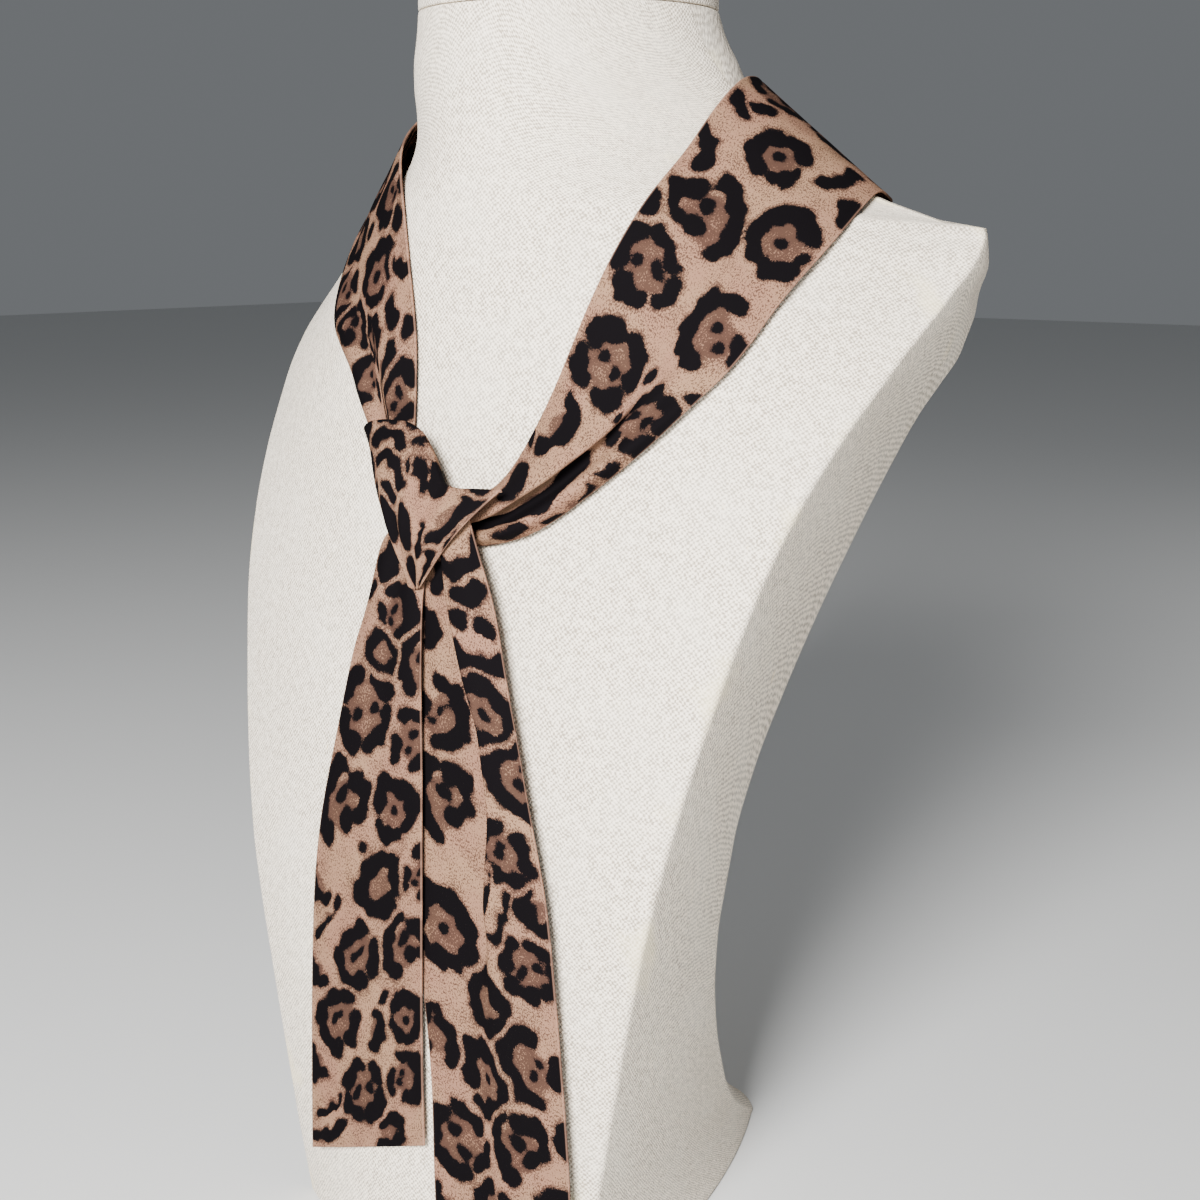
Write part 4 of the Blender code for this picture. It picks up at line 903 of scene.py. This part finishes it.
def bust_grid():
    """Rings of the whole bust, level by level, with a small round at the hem and at the neck's top."""
    table = np.array(BUST_ROWS)
    hem = HEM_ROUND * (1.0 - np.cos(np.linspace(0.0, 0.5 * math.pi, HEM_POINTS)))
    rim = NECK_TOP - RIM_ROUND * (1.0 - np.cos(np.linspace(0.5 * math.pi, 0.0, RIM_POINTS)))
    steps = int((NECK_TOP - RIM_ROUND - HEM_ROUND) / LEVEL_STEP)
    levels = np.concatenate([hem, np.linspace(HEM_ROUND, NECK_TOP - RIM_ROUND, steps)[1:-1], rim])
    values = soft_rows(table[:, 1:], table[:, 0], levels)
    half = half_sections(values)
    ring = np.concatenate([half, half[:, -2:0:-1] * np.array([-1.0, 1.0])], axis=1)
    low = np.clip((HEM_ROUND - levels) / HEM_ROUND, 0.0, 1.0)
    high = np.clip((levels - NECK_TOP + RIM_ROUND) / RIM_ROUND, 0.0, 1.0)
    inset = HEM_ROUND * (1.0 - np.sqrt(1.0 - low ** 2)) + RIM_ROUND * (1.0 - np.sqrt(1.0 - high ** 2))
    middle = ring.mean(axis=1, keepdims=True)
    away = ring - middle
    ring = middle + away * (1.0 - inset[:, None] / np.linalg.norm(away, axis=2))[:, :, None]
    height = levels[:, None] - values[:, 7:8] * (np.abs(ring[:, :, 0]) / values[:, 1:2]) ** 2
    return np.concatenate([ring, height[:, :, None]], axis=2), half.shape[1]


def ring_piece(name, grid, material, uv, marks):
    """A closed piece from rings of points that start at the centre back, its first and last ring filled.

    The UV grid has one column more than the rings have points, so the cover's seam is at the centre back.
    """
    count, around = grid.shape[:2]
    index = np.arange(count * around).reshape(count, around)
    quads = grid_quads(np.concatenate([index, index[:, :1]], axis=1))
    faces = quads.tolist() + [index[0, ::-1].tolist(), index[-1].tolist()]
    places = np.arange(count * (around + 1)).reshape(count, around + 1)
    corners = np.concatenate([grid_quads(places).ravel(), places[0, -2::-1], places[-1, :-1]])
    piece = make_piece(name, grid.reshape(-1, 3), faces, material, uv[corners], marks)
    piece.data.set_sharp_from_angle(angle=math.radians(SHARP_ANGLE))
    return piece


def build_bust(material):
    """The covered form: UV runs round each ring from the centre front and up each line from the hem."""
    grid, half_count = bust_grid()
    grid = np.roll(grid, 1 - half_count, axis=1)
    closed = np.concatenate([grid, grid[:, :1]], axis=1)
    around = run_lengths(closed, 1)
    around = around - 0.5 * around[:, -1:]
    up = run_lengths(closed, 0)
    corner = half_count - 1 + FRONT_POINTS + CORNER_POINTS // 2 - 1
    from_edge = np.abs(np.abs(around) - np.abs(around[:, corner:corner + 1]))[:, :-1]
    uv = np.stack([around.ravel(), up.ravel()], axis=1)
    marks = {"edge_band": np.exp(-from_edge / EDGE_REACH).ravel()}
    piece = ring_piece("bust_cover", grid, material, uv, marks)
    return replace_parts(piece, "bust_form")


def build_cap(material):
    """The neck cap: the neck's own top outline carried up and rounded over to a nearly flat top."""
    top = half_sections(np.array([BUST_ROWS[-1][1:]]))[0]
    ring = np.roll(np.concatenate([top, top[-2:0:-1] * np.array([-1.0, 1.0])]), 1 - len(top), axis=0)
    middle = np.array([0.0, 0.5 * (ring[:, 1].min() + ring[:, 1].max())])
    radius = 0.5 * (ring[:, 0].max() - ring[:, 0].min())
    turn = np.linspace(0.0, 0.5 * math.pi, CAP_ROUND_POINTS)
    foot = np.linspace(0.0, 0.5 * math.pi, RIM_POINTS)
    inset = np.concatenate([
        RIM_ROUND * (1.0 - np.sin(foot)),
        CAP_ROUND * (1.0 - np.cos(turn)),
        np.linspace(CAP_ROUND + CAP_TOP_START, radius - CAP_MIDDLE, CAP_TOP_RINGS),
    ])
    crown = CAP_HEIGHT - np.linspace(CAP_CROWN, 0.0, CAP_TOP_RINGS)
    height = np.concatenate([
        RIM_ROUND * (1.0 - np.cos(foot)),
        CAP_HEIGHT - CAP_ROUND + CAP_ROUND * np.sin(turn),
        crown,
    ])
    flat = middle + (ring - middle)[None] * (1.0 - inset / radius)[:, None, None]
    level = np.broadcast_to((NECK_TOP + SEAM_GAP + height)[:, None, None], flat.shape[:2] + (1,))
    grid = np.concatenate([flat, level], axis=2)
    closed = np.concatenate([grid, grid[:, :1]], axis=1)
    side = run_lengths(closed, 1)[:1]
    on_top = height[:, None] > CAP_HEIGHT - 0.5 * CAP_ROUND
    u = np.where(on_top, closed[:, :, 0], side)
    v = np.where(on_top, closed[:, :, 1], closed[:, :, 2])
    uv = np.stack([u.ravel(), v.ravel()], axis=1)
    marks = {"edge_band": np.zeros(grid.shape[0] * grid.shape[1])}
    piece = ring_piece("neck_cap_cover", grid, material, uv, marks)
    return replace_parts(piece, "neck_cap")


# ================================================================ scarf
def cloth_places():
    """Places across the cloth in millimetres, close together at its two folded edges."""
    edge = np.array(EDGE_PLACES)
    count = int((RIBBON_WIDE - 2.0 * edge[-1]) / CREASE_STEP) + 1
    middle = np.linspace(edge[-1], RIBBON_WIDE - edge[-1], count)[1:-1]
    return np.concatenate([edge, middle, RIBBON_WIDE - edge[::-1]])


def folded_grid(edges, cloth, folds, rows):
    """Mid-surface of a stretch of ribbon.

    Along it, both edges are splines through the edge table.  Across it, each section is a spline
    through the fold table's places: a share of the way from edge to edge, and a height off that line.
    """
    edges = np.array(edges)
    folds = np.array(folds)
    ends = spline_weights(np.arange(len(edges)), rows) @ edges
    first, last = ends[:, :3], ends[:, 3:]
    lie = soft_rows(folds[:, 1:], folds[:, 0], rows)
    across = spline_weights(cloth, cloth_places() / RIBBON_WIDE)
    share = lie[:, 0::2] @ across.T
    height = lie[:, 1::2] @ across.T
    along = np.gradient(0.5 * (first + last), axis=0)
    away = np.cross(last - first, along)
    away /= np.linalg.norm(away, axis=1)[:, None]
    middle = 0.5 * (first + last) - np.array([0.0, 0.0, MIDDLE_HEIGHT])
    away *= np.sign(np.einsum("ij,ij->i", away, middle))[:, None]
    line = first[:, None, :] + (last - first)[:, None, :] * share[:, :, None]
    return line + away[:, None, :] * (height + CLOTH_LIFT)[:, :, None]


def even_rows(edges):
    """Row numbers of an edge table, even along the ribbon's middle, and a few close to its ends."""
    edges = np.array(edges)
    dense = np.linspace(0.0, len(edges) - 1.0, 40 * len(edges))
    middle = spline_weights(np.arange(len(edges)), dense) @ (0.5 * (edges[:, :3] + edges[:, 3:]))
    run = np.concatenate([[0.0], np.cumsum(np.linalg.norm(np.diff(middle, axis=0), axis=1))])
    count = int(run[-1] / ROW_STEP) + 1
    inner = np.interp(np.linspace(0.0, run[-1], count), run, dense)
    near_start = np.interp(END_PLACES, run, dense)
    near_end = np.interp(run[-1] - np.array(END_PLACES[::-1]), run, dense)
    return np.concatenate([inner[:1], near_start, inner[1:-1], near_end, inner[-1:]])


def pillow(places, whole):
    """Half thickness of the pressed tube: round at its folded edge, a full rim, then a slight dip.

    The edge is a quarter circle, and the rim and the dip are bell curves of the distance from it.
    """
    from_edge = np.minimum(places, whole - places)
    half = 0.5 * CLOTH_THICK
    turn = np.clip(from_edge / half, 0.0, 1.0)
    rim = RIM_SWELL * np.exp(-((from_edge - RIM_AT) / RIM_SPAN) ** 2)
    dip = DIP_DEPTH * np.exp(-((from_edge - DIP_AT) / DIP_SPAN) ** 2)
    return half * np.sqrt(1.0 - (1.0 - turn) ** 2) * (1.0 + rim - dip)


def soft_rise(values, low, high):
    """0 below low, 1 above high, and a smooth rise between."""
    share = np.clip((values - low) / (high - low), 0.0, 1.0)
    return share * share * (3.0 - 2.0 * share)


def cloth_places_over(grid, hold, start):
    """Each point's place in the cloth laid flat.

    Across, it is the distance over the surface from the first edge, or, where hold is 1, the ribbon's
    width less the distance from the last edge; between the two goes the cloth that a fold tucks away.
    Along, it is the mean distance from the first row.
    """
    across = run_lengths(grid, 1)
    from_last = RIBBON_WIDE - (across[:, -1:] - across)
    u = across * (1.0 - hold) + from_last * hold
    v = start + run_lengths(grid, 0).mean(axis=1)[:, None]
    return u, np.broadcast_to(v, u.shape)


def stroke_distance(x, y, x0, y0, x1, y1, r0, r1):
    """Distance from a stroke: a round-ended line of lumpy width, bowed away from its motif's middle."""
    long_x, long_y = x1 - x0, y1 - y0
    squared = long_x ** 2 + long_y ** 2
    share = np.clip(((x - x0) * long_x + (y - y0) * long_y) / max(squared, 1e-6), 0.0, 1.0)
    middle_x, middle_y = 0.5 * (x0 + x1), 0.5 * (y0 + y1)
    from_middle = math.hypot(middle_x, middle_y) + 1.5
    bow = 4.0 * share * (1.0 - share) * STROKE_BOW * squared / from_middle ** 2
    off_x = x - x0 - share * long_x - bow * middle_x
    off_y = y - y0 - share * long_y - bow * middle_y
    lumps = STROKE_LUMPS * np.sin(math.sqrt(squared) * share + 3.0 * x0 + 1.0)
    return np.hypot(off_x, off_y) - r0 - share * (r1 - r0) - lumps


def print_marks(u, v, chart):
    """Distance from the ink's edge, below zero in the ink, and from the hearts' edges.

    Each motif of the chart is a few strokes, turned, sized and set at its place in the cloth.  Strokes
    that meet are joined by a soft minimum.  A point goes with the motif whose outline, an oval, is
    nearest, and a channel of ground is kept where two motifs would meet.  Slow and quick waves bend the
    places first, so that no two motifs come out alike.
    """
    bent_u = u + SLOW_BEND * np.sin(v / 3.7 + 1.4 * np.sin(u / 6.1)) + QUICK_BEND * np.sin(v / 1.9 + u / 2.3)
    bent_v = v + SLOW_BEND * np.sin(u / 3.3 + 1.7 * np.sin(v / 8.3)) + QUICK_BEND * np.sin(u / 1.7 - v / 2.9)
    ink = np.full(u.shape, FARTHEST)
    heart = np.full(u.shape, FARTHEST)
    nearest = np.full(u.shape, 2.0 * FARTHEST)
    second = np.full(u.shape, 2.0 * FARTHEST)
    for kind, at_u, at_v, turn, share_size in chart:
        size = share_size * MOTIF_SIZE
        cos, sin = math.cos(math.radians(turn)), math.sin(math.radians(turn))
        away_u, away_v = bent_u - at_u, bent_v - at_v
        near = np.hypot(away_u, away_v) < MOTIF_REACH * size
        x = (away_u[near] * cos + away_v[near] * sin) / size
        y = (away_v[near] * cos - away_u[near] * sin) / size
        (heart_x, heart_y), strokes = MOTIFS[kind]
        table = np.array(strokes, float)
        wide = (np.abs(table[:, 0:3:2]) + table[:, 4:6]).max()
        high = (np.abs(table[:, 1:4:2]) + table[:, 4:6]).max()
        outline = (np.hypot(x / wide, y / high) - 1.0) * 0.5 * (wide + high) * size
        middle = (np.hypot(x / heart_x, y / heart_y) - 1.0) * min(heart_x, heart_y) * size
        joined = sum(np.exp(-stroke_distance(x, y, *stroke) * size / INK_JOIN) for stroke in strokes)
        own = -INK_JOIN * np.log(joined + 1e-9) - INK_SPREAD
        closer = outline < nearest[near]
        second[near] = np.where(closer, nearest[near], np.minimum(second[near], outline))
        nearest[near] = np.where(closer, outline, nearest[near])
        ink[near] = np.where(closer, own, ink[near])
        heart[near] = np.where(closer, middle, heart[near])
    channel = 0.5 * (MOTIF_GAP - second + nearest)
    return tuple(np.clip(np.maximum(mark, channel), DEEPEST, FARTHEST) for mark in (ink, heart))


def cloth_piece(name, grid, places, chart, material):
    """A closed thin shell round a mid-surface; its border is shared by the front and the back."""
    rows, cols = grid.shape[:2]
    outward = grid - np.array([0.0, 0.0, MIDDLE_HEIGHT])
    normals = grid_normals(grid, outward)
    across = cloth_places()
    run = run_lengths(grid, 0).mean(axis=1)
    thick = np.minimum(pillow(across, RIBBON_WIDE)[None, :], pillow(run, run[-1])[:, None])
    front = grid + normals * thick[:, :, None]
    back = grid - normals * thick[:, :, None]
    index = np.arange(rows * cols).reshape(rows, cols)
    behind = index.copy()
    behind[1:-1, 1:-1] = rows * cols + np.arange((rows - 2) * (cols - 2)).reshape(rows - 2, cols - 2)
    points = np.concatenate([front.reshape(-1, 3), back[1:-1, 1:-1].reshape(-1, 3)])
    quads = np.concatenate([grid_quads(index), grid_quads(behind)[:, ::-1]])
    u, v = places
    ink, heart = print_marks(u, v, chart)
    from_edge = np.broadcast_to(np.minimum(across, RIBBON_WIDE - across), u.shape)

    def both(values, back_values):
        return np.concatenate([values.ravel(), back_values[1:-1, 1:-1].ravel()])

    uv = np.stack([both(u, 2.0 * RIBBON_WIDE - u), both(v, v)], axis=1)
    marks = {
        "ink_edge": both(ink, ink),
        "heart_edge": both(heart, heart),
        "from_rim": both(from_edge, from_edge),
    }
    a, b, c = (points[quads[0, k]] for k in range(3))
    if np.dot(np.cross(b - a, c - a), normals[0, 0]) < 0.0:
        quads = quads[:, ::-1]
    return make_piece(name, points, quads.tolist(), material, uv[quads.ravel()], marks)


def ribbon_piece(name, edges, cloth, folds, tuck, start, chart, material):
    """A stretch of ribbon from its tables, with the cloth's length along its middle.

    The tuck is where across the ribbon its fold hides cloth, as two shares of its width.
    """
    grid = folded_grid(edges, cloth, folds, even_rows(edges))
    hold = soft_rise(cloth_places() / RIBBON_WIDE, *tuck)
    middle = grid[:, grid.shape[1] // 2]
    length = np.linalg.norm(np.diff(middle, axis=0), axis=1).sum()
    return cloth_piece(name, grid, cloth_places_over(grid, hold, start), chart, material), length


def wrap_grid():
    """Mid-surface of the knot's wrap.

    Gathers fan out from the tip: each is a line from the tip to its place on the roll, bowed sideways
    and swelling forward by a sine, and then turns back over the roll by a quarter turn.  Soft ridges
    and troughs, bell curves across the wrap, run along the gathers from the tip to where each fades out.
    """
    rays = np.array(WRAP_RAYS)
    keys = np.linspace(0.0, 1.0, len(rays))
    at = cloth_places() / RIBBON_WIDE
    roll_x, roll_z, roll_y, full_y, bow, depth, drop = soft_rows(rays, keys, at).T
    spread = at - 0.5
    tip = np.array(WRAP_TIP)
    start = tip + np.stack([WRAP_TIP_SPREAD * spread, 0.0 * spread, WRAP_TIP_RISE * np.abs(spread)], axis=1)
    roll = np.stack([roll_x, roll_y, roll_z], axis=1)
    sideways = np.stack([roll[:, 2] - start[:, 2], 0.0 * at, start[:, 0] - roll[:, 0]], axis=1)
    sideways /= np.linalg.norm(sideways, axis=1)[:, None]
    share = np.linspace(0.0, 1.0, WRAP_ALONG)[:, None]
    grid = start[None] + (roll - start)[None] * share[:, :, None]
    grid = grid + sideways[None] * (bow[None] * np.sin(math.pi * share ** BOW_POWER))[:, :, None]
    middle_y = 0.5 * (start[:, 1] + roll[:, 1])
    grid[:, :, 1] += (full_y - middle_y)[None] * np.sin(math.pi * share ** SWELL_POWER)
    for place, wide, height, far in WRAP_GATHERS:
        ridge = np.exp(-((at - place) / wide) ** 2)[None]
        fade = np.sin(math.pi * np.clip(share / far, 0.0, 1.0) ** GATHER_POWER)
        grid[:, :, 1] -= height * ridge * fade
    turn = np.linspace(0.0, 0.5 * math.pi, WRAP_BEHIND + 1)[1:, None]
    behind = np.broadcast_to(roll[None], (WRAP_BEHIND,) + roll.shape).copy()
    behind[:, :, 1] += depth[None] * np.sin(turn)
    behind[:, :, 2] -= drop[None] * (1.0 - np.cos(turn))
    grid = np.concatenate([grid, behind])
    return grid + np.array([0.0, -CLOTH_LIFT, 0.0])


# ================================================================ stage
def build_stage():
    """A plain pale floor, a soft light from the upper left of the view with two weak ones, and the camera."""
    scene = bpy.context.scene
    half = FLOOR_HALF
    mesh = bpy.data.meshes.new("floor")
    corners = [(-half, -half, 0.0), (half, -half, 0.0), (half, half, 0.0), (-half, half, 0.0)]
    mesh.from_pydata(corners, [], [(0, 1, 2, 3)])
    pale = bpy.data.materials.new("pale_floor")
    pale.use_nodes = True
    pale.node_tree.nodes["Principled BSDF"].inputs["Base Color"].default_value = FLOOR_TONE
    pale.node_tree.nodes["Principled BSDF"].inputs["Roughness"].default_value = FLOOR_ROUGHNESS
    mesh.materials.append(pale)
    floor = bpy.data.objects.new("floor", mesh)
    scene.collection.objects.link(floor)

    world = bpy.data.worlds.new("studio")
    world.use_nodes = True
    world.node_tree.nodes["Background"].inputs[0].default_value = STUDIO_TONE
    world.node_tree.nodes["Background"].inputs[1].default_value = STUDIO_STRENGTH
    scene.world = world
    for name, place, size, power in LIGHTS:
        light = bpy.data.lights.new(name, "AREA")
        light.size = size
        light.energy = power
        lamp = bpy.data.objects.new(name, light)
        lamp.location = place
        aim = np.array(LIGHT_AIM) - np.array(place)
        level = math.hypot(aim[0], aim[1])
        lamp.rotation_euler = (math.atan2(level, -aim[2]), 0.0, math.atan2(-aim[0], aim[1]))
        scene.collection.objects.link(lamp)

    camera = bpy.data.cameras.new("camera")
    camera.lens = CAMERA_LENS
    camera.sensor_width = CAMERA_SENSOR
    eye = bpy.data.objects.new("camera", camera)
    eye.location = (CAMERA_PLACE[0], CAMERA_PLACE[1] + PLAN_SHIFT * MM, CAMERA_PLACE[2])
    eye.rotation_euler = (math.radians(90.0 - CAMERA_DOWN), 0.0, math.radians(CAMERA_TURN))
    scene.collection.objects.link(eye)
    scene.camera = eye


def build_scarf(cloth):
    """The scarf's four pieces."""
    loop, loop_long = ribbon_piece(
        "scarf_loop", LOOP_EDGES, LOOP_CLOTH, LOOP_FOLDS, LOOP_TUCK, 0.0, LOOP_CHART, cloth
    )
    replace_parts(loop, "strap_near", "neck_back", "strap_far")

    left, left_long = ribbon_piece(
        "scarf_tail_left", LEFT_TAIL_EDGES, LEFT_TAIL_CLOTH, LEFT_TAIL_FOLDS, LEFT_TAIL_TUCK, 0.0,
        LEFT_TAIL_CHART, cloth,
    )
    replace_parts(left, "tail_left")

    right, right_long = ribbon_piece(
        "scarf_tail_right", RIGHT_TAIL_EDGES, RIGHT_TAIL_CLOTH, RIGHT_TAIL_FOLDS, RIGHT_TAIL_TUCK, 0.0,
        RIGHT_TAIL_CHART, cloth,
    )
    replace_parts(right, "tail_right")

    grid = wrap_grid()
    across = np.broadcast_to(run_lengths(grid, 1)[WRAP_ALONG - 1], grid.shape[:2])
    along = np.broadcast_to(run_lengths(grid, 0).mean(axis=1)[:, None], grid.shape[:2])
    knot = cloth_piece("scarf_knot", grid, (across, along), KNOT_CHART, cloth)
    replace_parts(knot, "knot_wrap")


def main():
    """The bust and its cap, the scarf and the stage."""
    weave = weave_group()
    build_bust(linen_material("linen_cover_cloth", weave, COVER_THREAD, COVER_DIP_SHADE))
    build_cap(linen_material("linen_cap_cloth", weave, CAP_THREAD, CAP_DIP_SHADE))
    build_scarf(print_material("scarf_print_cloth", print_group()))
    build_stage()


main()
